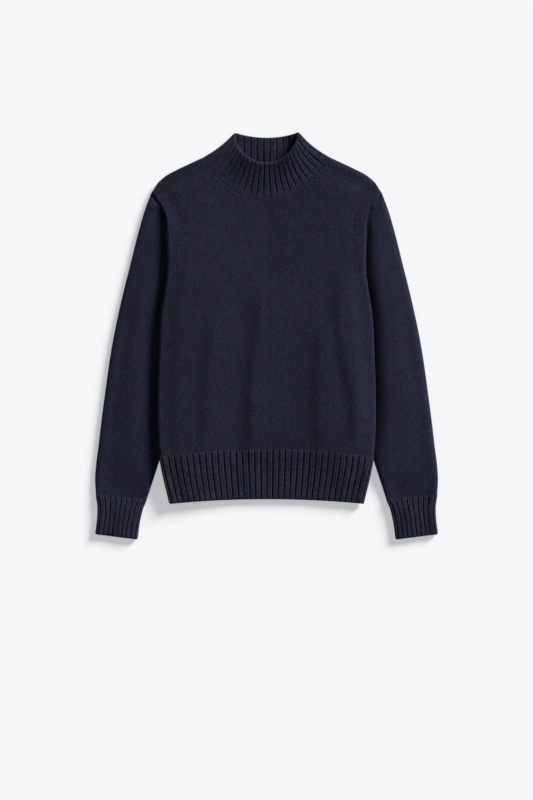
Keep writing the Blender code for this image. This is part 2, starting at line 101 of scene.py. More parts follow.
Level = namedtuple("Level", "y half_width")
SIDE_LINE = (
    Level(y=-0.2925, half_width=0.1688),
    Level(y=-0.2120, half_width=0.1858),
    Level(y=-0.1730, half_width=0.1890),
    Level(y=-0.1120, half_width=0.1899),
    Level(y=-0.0245, half_width=0.1873),
    Level(y=0.0455, half_width=0.1829),
    Level(y=0.0805, half_width=0.1770),
    Level(y=0.1050, half_width=0.1740),
    Level(y=0.1768, half_width=0.1738),
    Level(y=0.2000, half_width=0.1744),
    Level(y=0.2200, half_width=0.1800),
    Level(y=0.2380, half_width=0.1915),
    Level(y=SHOULDER_TIP[1], half_width=SHOULDER_TIP[0]),
)
SHOULDER_LINE = (
    SIDE_NECK, (0.1342, 0.3001), (0.1568, 0.2893), (0.1763, 0.2784), (0.1878, 0.2680), (0.1946, 0.2582),
    SHOULDER_TIP,
)
COLLAR_SIDE = (SIDE_NECK, (0.0928, 0.3213), (0.0780, 0.3316), (0.0658, 0.3424), (0.0550, 0.3540))

# Soft folds: a trough has a depth, and a ridge a negative one. Each runs along its points and fades at its
# ends. A ridge is steep on its left and falls slowly to its right, and a trough the other way round.
FOLD_LEAN = 3.0          # how much wider the gentle side is
Fold = namedtuple("Fold", "depth width points")
FRONT_FOLDS = (
    Fold(-0.0068, 0.0175, ((-0.0060, 0.115), (-0.0095, 0.019), (-0.0180, -0.033), (-0.0220, -0.112),
                           (-0.0220, -0.235))),
    Fold(-0.0042, 0.0140, ((-0.0840, 0.060), (-0.0900, -0.016), (-0.1000, -0.086), (-0.1040, -0.230))),
    Fold(-0.0037, 0.0125, ((0.1040, 0.045), (0.0950, -0.020), (0.0925, -0.100), (0.0950, -0.235))),
    Fold(-0.0040, 0.0125, ((0.1400, 0.140), (0.1290, 0.045), (0.1330, -0.010), (0.1430, -0.060),
                           (0.1545, -0.115), (0.1550, -0.235))),
    Fold(0.0014, 0.0070, ((0.1552, 0.075), (0.1640, 0.025))),
    Fold(-0.0010, 0.0060, ((0.1640, 0.190), (0.1665, 0.150), (0.1655, 0.110))),
    Fold(-0.0010, 0.0070, ((-0.1600, 0.200), (-0.1640, 0.150), (-0.1610, 0.110))),
    Fold(0.0008, 0.0040, ((-0.1140, 0.1500), (-0.0980, 0.1635))),
    Fold(0.0007, 0.0040, ((0.0410, 0.1440), (0.0600, 0.1600))),
)
Lumps = namedtuple("Lumps", "height size seed")
FRONT_LUMPS = (Lumps(0.00035, 0.026, 3), Lumps(0.00018, 0.010, 5))    # the unevenness of its stitches
FOLD_FADE = 0.25         # share of a fold's length in which it fades at each end

# Inward steps over a rolled edge, as shares of its radius
ROLL_STEPS = (0.0, 0.02, 0.07, 0.15, 0.28, 0.45, 0.7)


def smooth_line(xs, ys, at):
    """The smooth line through the points (xs, ys), read at the places 'at'."""
    xs = np.asarray(xs, float)
    ys = np.asarray(ys, float)
    at = np.clip(np.asarray(at, float), xs[0], xs[-1])
    slopes = np.gradient(ys, xs)
    cell = np.clip(np.searchsorted(xs, at) - 1, 0, len(xs) - 2)
    width = xs[cell + 1] - xs[cell]
    share = (at - xs[cell]) / width
    rest = 1 - share
    start = ys[cell] * (1 + 2 * share) * rest**2 + slopes[cell] * width * share * rest**2
    end = ys[cell + 1] * (3 - 2 * share) * share**2 - slopes[cell + 1] * width * rest * share**2
    return start + end


def lengths(points):
    """How far along a line of straight pieces each of its points lies."""
    steps = np.linalg.norm(np.diff(points, axis=0), axis=1)
    return np.concatenate([[0.0], np.cumsum(steps)])


def smooth_path(points, shares):
    """Places along a smooth path through the points, at shares of its length."""
    points = np.asarray(points, float)
    length = lengths(points)
    at = np.asarray(shares) * length[-1]
    return np.stack([smooth_line(length, column, at) for column in points.T], axis=-1)


def along(points, shares):
    """Places along a line of straight pieces, at shares of its length."""
    points = np.asarray(points, float)
    length = lengths(points)
    at = np.asarray(shares) * length[-1]
    return np.stack([np.interp(at, length, column) for column in points.T], axis=-1)


def ease(share):
    """From 0 to 1 with a soft start and end."""
    share = np.clip(share, 0.0, 1.0)
    return share * share * (3 - 2 * share)


def nearest(plan, line):
    """How far plan points lie from a line of straight pieces, and at what share of the line's length."""
    line = np.asarray(line, float)
    length = lengths(line)
    best = np.full(plan.shape[:-1], np.inf)
    where = np.zeros(plan.shape[:-1])
    for start, end, before, after in zip(line[:-1], line[1:], length[:-1], length[1:]):
        run = end - start
        share = np.clip(((plan - start) @ run) / (run @ run), 0.0, 1.0)
        away = np.linalg.norm(plan - start - share[..., None] * run, axis=-1)
        closer = away < best
        best = np.where(closer, away, best)
        where = np.where(closer, (before + share * (after - before)) / length[-1], where)
    return best, where


def half_width(y):
    """Half the width of the body at a height."""
    return smooth_line([row.y for row in SIDE_LINE], [row.half_width for row in SIDE_LINE], y)


def shoulder_height(x):
    """Height of the shoulder's edge, between the neck and the shoulder tip."""
    xs, ys = zip(*SHOULDER_LINE)
    return smooth_line(xs, ys, np.abs(x))


def neck_height(x, middle):
    """Height of a neckline, a bow from side neck to side neck with its lowest point at the middle."""
    share = np.clip(np.abs(x) / SIDE_NECK[0], 0.0, 1.0)
    return SIDE_NECK[1] - (SIDE_NECK[1] - middle) * (1 - share**2)


def hem_seam(x):
    """Height of the line where the plain knit turns to ribs, lower at the sides."""
    return HEM_SEAM - HEM_SEAM_DROP * (np.asarray(x) / HEM_HALF_WIDTH) ** 2


def body_outline():
    """The folded edge of the body and the neck, from the hem's corner to the rim's, on the +X side."""
    heights = np.linspace(SIDE_LINE[0].y, SIDE_LINE[-1].y, 60)
    side = list(zip(half_width(heights), heights))
    shoulder_x = np.linspace(SHOULDER_TIP[0], SIDE_NECK[0], 20)
    shoulder = list(zip(shoulder_x, shoulder_height(shoulder_x)))
    neck = [tuple(p) for p in smooth_path(COLLAR_SIDE, np.linspace(0, 1, 14))]
    return side + shoulder[1:] + neck[1:]


OUTLINE = body_outline()
FRONT_NECKLINE = [(x, neck_height(x, FRONT_NECK)) for x in np.linspace(-SIDE_NECK[0], SIDE_NECK[0], 25)]


def edge_distance(plan):
    """How far each plan point lies from the garment's folded edge."""
    return nearest(np.stack([np.abs(plan[..., 0]), plan[..., 1]], axis=-1), OUTLINE)[0]


def inward(plan, start, end):
    """How far plan points lie inwards of a straight line that runs down the garment's +X side."""
    run = np.subtract(end, start)
    normal = np.array([run[1], -run[0]]) / np.linalg.norm(run)
    return (np.abs(plan[..., 0]) - start[0]) * normal[0] + (plan[..., 1] - start[1]) * normal[1]


def from_tip(plan):
    """How far plan points lie from the shoulder tip."""
    return np.hypot(np.abs(plan[..., 0]) - SHOULDER_TIP[0], plan[..., 1] - SHOULDER_TIP[1])


def lift(plan, soft=SOFT_RAMP):
    """How far the body is raised by a sleeve under it. 'soft' is how far it slowly comes down beside it."""
    turn = (half_width(ARMHOLE_TURN), ARMHOLE_TURN)
    above = np.clip(inward(plan, turn, UNDERARM) - LIFT_MARGIN, 0.0, None)
    inside = np.clip(inward(plan, UNDERARM, CUFF_SEAM_IN) - LIFT_MARGIN, 0.0, None)
    firm = ease(1 - np.hypot(above / SHOULDER_RAMP, inside / SIDE_RAMP))
    slow = np.exp(-(above**2 + inside**2) / soft**2) * ease(from_tip(plan) / TIP_EASE)
    return LIFT * np.maximum(firm, slow)


def half_thickness(edge):
    """Half the height of two layers, thicker towards a folded edge."""
    return HALF + (EDGE_RADIUS - HALF) * ease(1 - edge / EDGE_EASE)


def roll(edge, radius=EDGE_RADIUS):
    """How far the cloth has turned over a folded edge, from 0 at the edge to 1 on the flat."""
    return np.sqrt(1 - (1 - np.clip(edge / radius, 0.0, 1.0)) ** 2)


def level_share(y):
    """From 0 where the armhole's seam lies in a crease to 1 where the body and the sleeve are level."""
    return ease((y - CREASE_TOP) / CREASE_FADE)


def sewn(plan):
    """How far a place beside the armhole lies on its sewn part, where the body and the sleeve are level."""
    return level_share(plan[..., 1]) * ease((from_tip(plan) - TIP_POINT) / TIP_FADE)


def body_roll(plan, edge):
    """The roll of the front's edge, which is shallower along the armholes, where the sleeves are sewn on."""
    beside = np.abs(plan[..., 0]) > half_width(plan[..., 1]) - SEWN_WIDTH
    radius = np.where(plan[..., 0] > 0, RIGHT_ROLL, LEFT_ROLL)
    return 1 - (1 - roll(edge, radius)) * (1 - (1 - SEWN_ROLL) * sewn(plan) * beside)


def uneven(plan, size, seed):
    """A soft unevenness from -1 to 1 over plan points, in lumps of that size."""
    cells = 64
    lattice = np.random.default_rng(seed).uniform(-1, 1, (cells, cells))
    place = plan / size + cells / 2
    cell = np.floor(place).astype(int)
    share = ease(place - cell)
    left, right = cell[..., 0] % cells, (cell[..., 0] + 1) % cells
    low, high = cell[..., 1] % cells, (cell[..., 1] + 1) % cells
    below = lattice[left, low] * (1 - share[..., 0]) + lattice[right, low] * share[..., 0]
    above = lattice[left, high] * (1 - share[..., 0]) + lattice[right, high] * share[..., 0]
    return below * (1 - share[..., 1]) + above * share[..., 1]


def folded(plan, folds):
    """The depth of the folds over plan points."""
    depth = np.zeros(plan.shape[:-1])
    for fold in folds:
        line = smooth_path(fold.points, np.linspace(0, 1, 14))
        away, where = nearest(plan, line)
        fade = ease(where / FOLD_FADE) * ease((1 - where) / FOLD_FADE)
        left = plan[..., 0] < along(line, where)[..., 0]
        width = np.where(left == (fold.depth > 0), fold.width * FOLD_LEAN, fold.width)
        depth += fold.depth * fade * np.exp(-((away / width) ** 2))
    return depth


def front_face(plan):
    """The outer face of the front cloth over its plan points."""
    x, y = plan[..., 0], plan[..., 1]
    edge = edge_distance(plan)
    half = half_thickness(edge)
    down_hem = np.clip((hem_seam(x) - y) / (HEM_SEAM - HEM_END), 0.0, 1.0)
    full = FULLNESS * ease(edge / FULLNESS_EDGE) * ease(nearest(plan, FRONT_NECKLINE)[0] / FULLNESS_NECK)
    full = (full - folded(plan, FRONT_FOLDS) * ease(edge / EDGE_EASE)) * (1 - HEM_PRESSED * ease(down_hem))
    lumps = sum(row.height * uneven(plan, row.size, row.seed) for row in FRONT_LUMPS)
    full = np.logaddexp(full / SOFT_STOP, 0.0) * SOFT_STOP + lumps * ease(edge / EVEN_EDGE)
    ramp = HEM_RAMP + (FRONT_RAMP - HEM_RAMP) * ease((y - HEM_END) / RAMP_CHANGE)
    raised = lift(plan)
    raised = raised + (lift(plan, ramp) - raised) * ease(edge / LOOSE_EDGE)
    left = ease(-x / PLUMP_MIDDLE) * ease((SHOULDER_TIP[1] - y) / PLUMP_REACH)
    raised = raised + LEFT_PLUMP * left * ease(edge / PLUMP_EDGE) * ease(1 - edge / PLUMP_REACH)
    z = raised + half + half * body_roll(plan, edge) + full
    return np.concatenate([plan, z[..., None]], axis=-1)


def spread(length, inner):
    """Places across a width: close together over its rolled edges, and at shares of what is between."""
    start = [EDGE_RADIUS * step for step in ROLL_STEPS]
    flat = length - 2 * EDGE_RADIUS
    middle = [EDGE_RADIUS + flat * share for share in inner]
    return np.array(start + middle + [length - place for place in reversed(start)])


def panel_plan(bottom, top, inner, shares, rolled_top):
    """Plan points of a panel of the body from its bottom line to its top one, a row for each share."""
    def x_at(y):
        return np.array([spread(w, inner)[c] - w / 2 for c, w in enumerate(2 * half_width(y))])

    # A column's x depends on its height and the lines' heights on its x, so they are found in turns
    columns = len(inner) + 2 * len(ROLL_STEPS)
    low = np.full(columns, HEM_END)
    high = np.full(columns, FRONT_NECK)
    for _ in range(6):
        low = bottom(x_at(low))
        high = top(x_at(high))
    last = high - EDGE_RADIUS if rolled_top else high
    heights = low + (last - low) * shares[:, None]
    if rolled_top:
        heights = np.concatenate([heights, [high - EDGE_RADIUS * step for step in reversed(ROLL_STEPS)]])
    return np.stack([np.array([x_at(row) for row in heights]), heights], axis=-1)


def body_top(neck_middle):
    """The line that ends a body panel: shoulder, neckline, shoulder."""
    def line(x):
        return np.where(np.abs(x) < SIDE_NECK[0], neck_height(x, neck_middle), shoulder_height(x))
    return line


def unit(vectors):
    """The vectors at length 1."""
    return vectors / np.maximum(np.linalg.norm(vectors, axis=-1, keepdims=True), 1e-12)


def facing(face, closed=False):
    """The direction that each point looks in, where columns run across and rows up as seen from outside."""
    across = np.gradient(face, axis=1)
    if closed:
        across[:, 0] = across[:, -1] = face[:, 1] - face[:, -2]
    return unit(np.cross(across, np.gradient(face, axis=0)))


def cloth_of(face):
    """How far across and up the cloth each point lies, measured over its curves."""
    def over(axis, side):
        step = np.diff(face, axis=side)
        run = np.copysign(np.hypot(step[..., axis], step[..., 2]), step[..., axis])
        start = np.take(face, [0], axis=side)[..., axis]
        return np.concatenate([start, start + np.cumsum(run, axis=side)], axis=side)

    across = over(0, 1)
    middle = across[:, across.shape[1] // 2][:, None]
    return np.stack([across - middle, over(1, 0)], axis=-1)


def inner_face(face, side):
    """The inner face of a panel of the body, which stays above the side seam (side 1) or below it (-1)."""
    inner = face - WALL * facing(face)
    plan = inner[..., :2]
    seam = lift(plan) + half_thickness(edge_distance(plan))
    inner[..., 2] = side * np.maximum(side * inner[..., 2], side * seam)
    return inner


def grid_faces(grid, inwards=False):
    """The four-sided faces between the points of a grid."""
    corners = [grid[:-1, :-1], grid[:-1, 1:], grid[1:, 1:], grid[1:, :-1]]
    if inwards:
        corners = [corners[n] for n in (0, 3, 2, 1)]
    return np.stack(corners, axis=-1).reshape(-1, 4).tolist()


def store(mesh, word, values):
    """Keeps a number or a direction for each of a mesh's points."""
    kind, field = ("FLOAT", "value") if values.ndim == 1 else ("FLOAT_VECTOR", "vector")
    layer = mesh.attributes.new(word, kind, "POINT")
    layer.data.foreach_set(field, values.astype(np.float32).ravel())


def in_scene(name, data):
    """A new object in the scene."""
    made = bpy.data.objects.new(name, data)
    bpy.context.scene.collection.objects.link(made)
    return made


def shell(name, face, inner, cloth, closed=False, coarse=(1, 1), **relief):
    """A closed wall of cloth between its outer and inner faces, with its place on the cloth as UV.

    A closed tube's last column lies on its first. 'coarse' is how many rows and columns of the outer face
    one of the inner face spans. 'relief' has values for the points of (the outer face, the inner face).
    """
    height, width = face.shape[:2]
    rows = sorted({*range(0, height, coarse[0]), height - 1})
    columns = sorted({*range(0, width, coarse[1]), width - 1})
    inner = inner[np.ix_(rows, columns)]
    out = np.arange(height * width).reshape(height, width)
    back = out.size + np.arange(len(rows) * len(columns)).reshape(len(rows), len(columns))

    faces = grid_faces(out) + grid_faces(back, inwards=True)
    for n, (a, b) in enumerate(zip(columns[:-1], columns[1:])):
        faces.append([*out[0, a:b + 1][::-1], back[0, n], back[0, n + 1]])
        faces.append([*out[-1, a:b + 1], back[-1, n + 1], back[-1, n]])
    if not closed:
        for n, (a, b) in enumerate(zip(rows[:-1], rows[1:])):
            faces.append([*out[a:b + 1, 0], back[n + 1, 0], back[n, 0]])
            faces.append([*out[a:b + 1, -1][::-1], back[n, -1], back[n + 1, -1]])

    # A closed tube has its last column's points only once
    kept = []
    vertex = np.zeros(out.size + back.size, int)
    for grid in (out, back):
        own = grid[:, :-1] if closed else grid
        vertex[own] = sum(len(k) for k in kept) + np.arange(own.size).reshape(own.shape)
        if closed:
            vertex[grid[:, -1]] = vertex[grid[:, 0]]
        kept.append(own.ravel())
    kept = np.concatenate(kept)
    points = np.concatenate([face.reshape(-1, 3), inner.reshape(-1, 3)])[kept]
    mesh = bpy.data.meshes.new(name)
    mesh.from_pydata(points.tolist(), [], [vertex[f].tolist() for f in faces])
    places = np.concatenate([cloth.reshape(-1, 2), cloth[np.ix_(rows, columns)].reshape(-1, 2)])
    corners = np.concatenate([np.asarray(f) for f in faces])
    mesh.uv_layers.new(name="cloth").data.foreach_set("uv", places[corners].astype(np.float32).ravel())
    for word, (outside, inside) in relief.items():
        inside = inside[np.ix_(rows, columns)]
        shape = (-1, *outside.shape[2:])
        store(mesh, word, np.concatenate([outside.reshape(shape), inside.reshape(shape)])[kept])
    mesh.shade_smooth()
    mesh.set_sharp_from_angle(angle=math.radians(60))
    return in_scene(name, mesh)


def linear(colour):
    """The linear colour of an sRGB hex value."""
    srgb = [int(colour[i:i + 2], 16) / 255 for i in (0, 2, 4)]
    return (*[c / 12.92 if c <= 0.04045 else ((c + 0.055) / 1.055) ** 2.4 for c in srgb], 1.0)


def add(tree, kind, sockets=(), **settings):
    """Adds a node with its settings, and its sockets' values or links, and gives its outputs."""
    node = tree.nodes.new(kind)
    for word, value in settings.items():
        setattr(node, word, value)
    for word, value in dict(sockets).items():
        if isinstance(value, bpy.types.NodeSocket):
            tree.links.new(value, node.inputs[word])
        else:
            node.inputs[word].default_value = value
    return node.outputs


def new_material(name):
    """A new material and its node tree, which is still empty."""
    material = bpy.data.materials.new(name)
    material.use_nodes = True
    material.node_tree.nodes.clear()
    return material, material.node_tree


def finish_surface(tree, sockets):
    """Ends a material's tree with its surface."""
    shader = add(tree, "ShaderNodeBsdfPrincipled", sockets)[0]
    add(tree, "ShaderNodeOutputMaterial", {0: shader})


# 'hollow' is the painted shade of stitch hollows and rib grooves, and a bare strand's darkest fibres
Yarn = namedtuple("Yarn", "colour fleck hollow")
BODY_YARN = Yarn(colour="182039", fleck="201d35", hollow="0a0c19")
NAP = {"Specular IOR Level": 0.25, "Sheen Roughness": 0.55, "Sheen Tint": linear("8a8fae")}
FIBRE_SCALE = 1900.0     # to the metre, for loose fibres of about half a millimetre
DYE_SCALE = 55.0         # to the metre, for uneven dye in patches of about two centimetres
STRAND_SCALE = 1500.0    # to the metre, for the fibres of a bare strand


def knit(name, yarn):
    """Wool yarn knitted in stockinette.

    It is matt, with a soft nap, in columns of V-shaped stitches with dark hollows between them.
    """
    material, tree = new_material(name)
    place = add(tree, "ShaderNodeUVMap", uv_map="cloth")[0]
    across, up, _ = add(tree, "ShaderNodeSeparateXYZ", {0: place})

    # The two legs of each stitch lean in to its middle, and each leg is a short round length of yarn
    wales = add(tree, "ShaderNodeMath", {0: across, 1: WALE}, operation="DIVIDE")[0]
    from_side = add(tree, "ShaderNodeMath", {0: wales, 1: 0.5}, operation="PINGPONG")[0]
    from_side = add(tree, "ShaderNodeMath", {0: from_side, 1: 2.0}, operation="MULTIPLY")[0]
    courses = add(tree, "ShaderNodeMath", {0: up, 1: COURSE}, operation="DIVIDE")[0]
    leaning = add(tree, "ShaderNodeMath", {0: from_side, 1: 1.3, 2: courses}, operation="MULTIPLY_ADD")[0]
    leg = add(tree, "ShaderNodeMath", {0: leaning}, operation="FRACT")[0]
    over_leg = add(tree, "ShaderNodeMath", {0: leg, 1: 2.0, 2: -1.0}, operation="MULTIPLY_ADD")[0]
    down_leg = add(tree, "ShaderNodeMath", {0: from_side, 1: 2.0, 2: -1.0}, operation="MULTIPLY_ADD")[0]
    over_leg = add(tree, "ShaderNodeMath", {0: over_leg, 1: over_leg}, operation="MULTIPLY")[0]
    down_leg = add(tree, "ShaderNodeMath", {0: down_leg, 1: down_leg}, operation="MULTIPLY")[0]
    fall = add(tree, "ShaderNodeMath", {0: down_leg, 1: 0.85}, operation="MULTIPLY")[0]
    fall = add(tree, "ShaderNodeMath", {0: over_leg, 1: 0.80, 2: fall}, operation="MULTIPLY_ADD")[0]
    round_leg = add(tree, "ShaderNodeMath", {0: 1.0, 1: fall}, operation="SUBTRACT", use_clamp=True)[0]
    round_leg = add(tree, "ShaderNodeMath", {0: round_leg}, operation="SQRT")[0]

    # Each leg takes the light a little differently
    legs = add(tree, "ShaderNodeMath", {0: wales, 1: 2.0}, operation="MULTIPLY")[0]
    leg_place = add(tree, "ShaderNodeCombineXYZ", {
        0: add(tree, "ShaderNodeMath", {0: legs}, operation="FLOOR")[0],
        1: add(tree, "ShaderNodeMath", {0: leaning}, operation="FLOOR")[0],
    })[0]
    own = add(tree, "ShaderNodeTexWhiteNoise", {"Vector": leg_place}, noise_dimensions="2D")[0]
    own = add(tree, "ShaderNodeMapRange", {0: own, 3: 0.20, 4: 1.80})[0]

    # The nap's loose fibres, and the yarn's uneven dye
    solid = add(tree, "ShaderNodeTexCoord")["Object"]
    fibres = add(tree, "ShaderNodeTexNoise", {
        "Vector": solid, "Scale": FIBRE_SCALE, "Detail": 3.0, "Roughness": 0.7,
    })[0]
    dye = add(tree, "ShaderNodeTexNoise", {
        "Vector": solid, "Scale": DYE_SCALE, "Detail": 3.0, "Roughness": 0.5,
    })[0]
    height = add(tree, "ShaderNodeMath", {0: fibres, 1: 0.30, 2: round_leg}, operation="MULTIPLY_ADD")[0]
    bump = add(tree, "ShaderNodeBump", {"Strength": 1.0, "Distance": 0.0008, "Height": height})[0]
    dyed = add(tree, "ShaderNodeMapRange", {0: dye, 1: 0.35, 2: 0.65}, interpolation_type="SMOOTHSTEP")[0]
    colour = add(tree, "ShaderNodeMix", {0: dyed, 6: linear(yarn.colour), 7: linear(yarn.fleck)},
                 data_type="RGBA")[2]
    tips = add(tree, "ShaderNodeMapRange", {0: fibres, 1: 0.3, 2: 0.7, 3: 0.80, 4: 1.20})[0]
    tips = add(tree, "ShaderNodeMath", {0: tips, 1: own}, operation="MULTIPLY")[0]
    colour = add(tree, "ShaderNodeVectorMath", {0: colour, "Scale": tips}, operation="SCALE")[0]

    # Light hardly reaches the hollows between the legs and the grooves between ribs: their shade is painted
    # in
    shown = add(tree, "ShaderNodeMapRange", {0: round_leg, 1: 0.1, 2: 0.75},
                interpolation_type="SMOOTHSTEP")[0]
    colour = add(tree, "ShaderNodeMix", {0: shown, 6: linear(yarn.hollow), 7: colour}, data_type="RGBA")[2]
    groove_shade = add(tree, "ShaderNodeAttribute", attribute_name="groove_shade")["Fac"]
    groove_shade = add(tree, "ShaderNodeMath", {0: groove_shade, 1: 0.5}, operation="MULTIPLY")[0]
    colour = add(tree, "ShaderNodeMix", {0: groove_shade, 6: colour, 7: linear(yarn.hollow)}, data_type="RGBA")[2]
    wool = {"Base Color": colour, "Normal": bump, "Roughness": 0.92, "Sheen Weight": 0.30}
    finish_surface(tree, {**NAP, **wool})
    return material


def plied(name, yarn):
    """The same wool as a bare round strand, as seams and edges show it: matt, twisted and a little fuzzy."""
    material, tree = new_material(name)
    solid = add(tree, "ShaderNodeTexCoord")["Object"]
    fibres = add(tree, "ShaderNodeTexNoise", {
        "Vector": solid, "Scale": STRAND_SCALE, "Detail": 3.0, "Roughness": 0.7,
    })[0]
    bump = add(tree, "ShaderNodeBump", {"Strength": 1.0, "Distance": 0.0004, "Height": fibres})[0]
    tips = add(tree, "ShaderNodeMapRange", {0: fibres, 1: 0.3, 2: 0.7})[0]
    colour = add(tree, "ShaderNodeMix", {0: tips, 6: linear(yarn.hollow), 7: linear(yarn.fleck)},
                 data_type="RGBA")[2]
    colour = add(tree, "ShaderNodeMix", {0: 0.55, 6: colour, 7: linear(yarn.colour)}, data_type="RGBA")[2]
    wool = {"Base Color": colour, "Normal": bump, "Roughness": 0.90, "Sheen Weight": 0.35}
    finish_surface(tree, {**NAP, **wool})
    return material


def geometry_tree(name, inputs, output):
    """A new geometry tree with those named inputs and a geometry output, and what its inputs give."""
    tree = bpy.data.node_groups.new(name, "GeometryNodeTree")
    for word, kind in inputs.items():
        tree.interface.new_socket(word, in_out="INPUT", socket_type="NodeSocket" + kind)
    tree.interface.new_socket(output, in_out="OUTPUT", socket_type="NodeSocketGeometry")
    return tree, add(tree, "NodeGroupInput")


def stitch_run():
    """A tree that lays stitches of one size along lines, turned to the lines' 'facing' and their 'lean'."""
    inputs = {"Lines": "Geometry", "Pitch": "Float", "Stitch size": "Vector", "Yarn": "Material"}
    tree, given = geometry_tree("stitch_run", inputs, "Stitches")
    line = add(tree, "GeometryNodeMeshToCurve", {0: given["Lines"]})[0]
    line = add(tree, "GeometryNodeResampleCurve", {"Curve": line, "Length": given["Pitch"]},
               mode="LENGTH")[0]
    along_line = add(tree, "GeometryNodeInputTangent")[0]
    outwards = add(tree, "GeometryNodeInputNamedAttribute", {"Name": "facing"},
                   data_type="FLOAT_VECTOR")[0]
    lean = add(tree, "GeometryNodeInputNamedAttribute", {"Name": "lean"}, data_type="FLOAT")[0]
    turn = add(tree, "FunctionNodeAlignRotationToVector", {"Vector": along_line}, axis="X")[0]
    turn = add(tree, "FunctionNodeAlignRotationToVector", {"Rotation": turn, "Vector": outwards},
               axis="Z", pivot_axis="X")[0]
    lean = add(tree, "FunctionNodeAxisAngleToRotation", {"Axis": (0.0, 0.0, 1.0), "Angle": lean})[0]
    turn = add(tree, "FunctionNodeRotateRotation", {"Rotation": turn, "Rotate By": lean},
               rotation_space="LOCAL")[0]
    stitch = add(tree, "GeometryNodeMeshUVSphere", {"Segments": 8, "Rings": 5, "Radius": 0.5})[0]
    made = add(tree, "GeometryNodeInstanceOnPoints", {
        "Points": line, "Instance": stitch, "Rotation": turn, "Scale": given["Stitch size"],
    })[0]
    made = add(tree, "GeometryNodeRealizeInstances", {0: made})[0]
    made = add(tree, "GeometryNodeSetShadeSmooth", {0: made})[0]
    made = add(tree, "GeometryNodeSetMaterial", {"Geometry": made, "Material": given["Yarn"]})[0]
    add(tree, "NodeGroupOutput", {0: made})
    return tree


STITCH_TREE = stitch_run()


def apply_tree(piece, tree, values):
    """Runs a geometry tree on a piece with those inputs, and makes what it gives the piece's plain mesh."""
    modifier = piece.modifiers.new(tree.name, "NODES")
    modifier.node_group = tree
    for socket in tree.interface.items_tree:
        if socket.in_out == "INPUT" and socket.name in values:
            modifier[socket.identifier] = values[socket.name]
    graph = bpy.context.evaluated_depsgraph_get()
    made = piece.evaluated_get(graph)
    mesh = bpy.data.meshes.new_from_object(made, preserve_all_data_layers=True, depsgraph=graph)
    piece.modifiers.clear()
    for word in ("rib", "top", "fade", "facing", "lean"):
        if word in mesh.attributes:
            mesh.attributes.remove(mesh.attributes[word])
    piece.data = mesh


Line = namedtuple("Line", "points facing lean")
Stitch = namedtuple("Stitch", "pitch size")
SEAM_STITCH = Stitch(pitch=0.0027, size=(0.0024, 0.0015, 0.0009))
SEAM_RISE = 0.0002       # how far a seam's stitches stand off the cloth
NECK_SEAM_IN = 0.0014    # how far down from the collar they lie
NECK_SEAM_HALF = 0.104
ARMHOLE_SEAM_IN = 0.0026    # and how far in from the sleeve
ARMHOLE_SEAM_TOP = 0.2400
MARK_STITCH = Stitch(pitch=0.0088, size=(0.0054, 0.0024, 0.0014))
MARK_RISE = 0.0001
ARMHOLE_MARKS_IN = 0.0190
ARMHOLE_MARKS = (0.2120, 0.1150)    # the heights that the doubled stitches run between
ARMHOLE_LEAN = math.radians(24)
NECK_MARKS = ((0.1110, 0.2960), (0.0930, 0.2760), (0.0720, 0.2590), (0.0500, 0.2410))
NECK_LEAN = math.radians(-32)


def sew(name, lines, stitch, yarn_name, yarn):
    """A piece of stitches along lines. It rides on the garment."""
    points = np.concatenate([line.points for line in lines])
    starts = np.cumsum([0] + [len(line.points) for line in lines])
    edges = [(n, n + 1) for a, b in zip(starts[:-1], starts[1:]) for n in range(a, b - 1)]
    mesh = bpy.data.meshes.new(name)
    mesh.from_pydata(points.tolist(), edges, [])
    store(mesh, "facing", np.concatenate([line.facing for line in lines]))
    store(mesh, "lean", np.concatenate([np.full(len(line.points), line.lean) for line in lines]))
    piece = in_scene(name, mesh)
    given = {"Pitch": stitch.pitch, "Stitch size": stitch.size, "Yarn": plied(yarn_name, yarn)}
    apply_tree(piece, STITCH_TREE, given)
    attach(piece, "root")
    return piece


def on_front(line, rise, lean=0.0):
    """A line of stitches drawn on the front, raised a little off its face."""
    plan = smooth_path(line, np.linspace(0, 1, 40))
    step = 0.001
    face = front_face(plan)
    east = front_face(plan + [step, 0.0]) - front_face(plan - [step, 0.0])
    north = front_face(plan + [0.0, step]) - front_face(plan - [0.0, step])
    outwards = unit(np.cross(east, north))
    return Line(face + outwards * rise, outwards, lean)


def dress(piece, node, with_pieces=()):
    """Has a piece of cloth ride on the garment in place of its solid."""
    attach(piece, "root")
    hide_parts(node)


def make_front():
    """The front panel."""
    columns, rows = np.linspace(0, 1, 115), np.linspace(0, 1, 157)
    face = front_face(panel_plan(hem_seam, body_top(FRONT_NECK), columns, rows, rolled_top=True))
    piece = shell("front_knit", face, inner_face(face, 1), cloth_of(face), coarse=(4, 4))
    piece.data.materials.append(knit("wool_stockinette_front", BODY_YARN))
    return piece


def front_stitches():
    """Linked seams at the neck and armholes, and doubled stitches where the knitting narrows beside them."""
    neck = [(x, neck_height(x, FRONT_NECK) - NECK_SEAM_IN)
            for x in np.linspace(-NECK_SEAM_HALF, NECK_SEAM_HALF, 17)]
    seams, marks = [on_front(neck, SEAM_RISE)], []
    for side in (-1, 1):
        heights = np.linspace(ARMHOLE_SEAM_TOP, ARMHOLE_TURN, 9)
        armhole = np.column_stack([side * (half_width(heights) - ARMHOLE_SEAM_IN), heights])
        seams.append(on_front(armhole, SEAM_RISE))
        heights = np.linspace(*ARMHOLE_MARKS, 9)
        inside = np.column_stack([side * (half_width(heights) - ARMHOLE_MARKS_IN), heights])
        marks.append(on_front(inside, MARK_RISE, side * ARMHOLE_LEAN))
        marks.append(on_front([(side * x, y) for x, y in NECK_MARKS], MARK_RISE, side * NECK_LEAN))
    return [
        sew("front_seam_stitches", seams, SEAM_STITCH, "linking_yarn", BODY_YARN),
        sew("front_narrowings", marks, MARK_STITCH, "doubled_stitch_yarn", BODY_YARN),
    ]


front = make_front()
dress(front, "front",
      with_pieces=front_stitches())

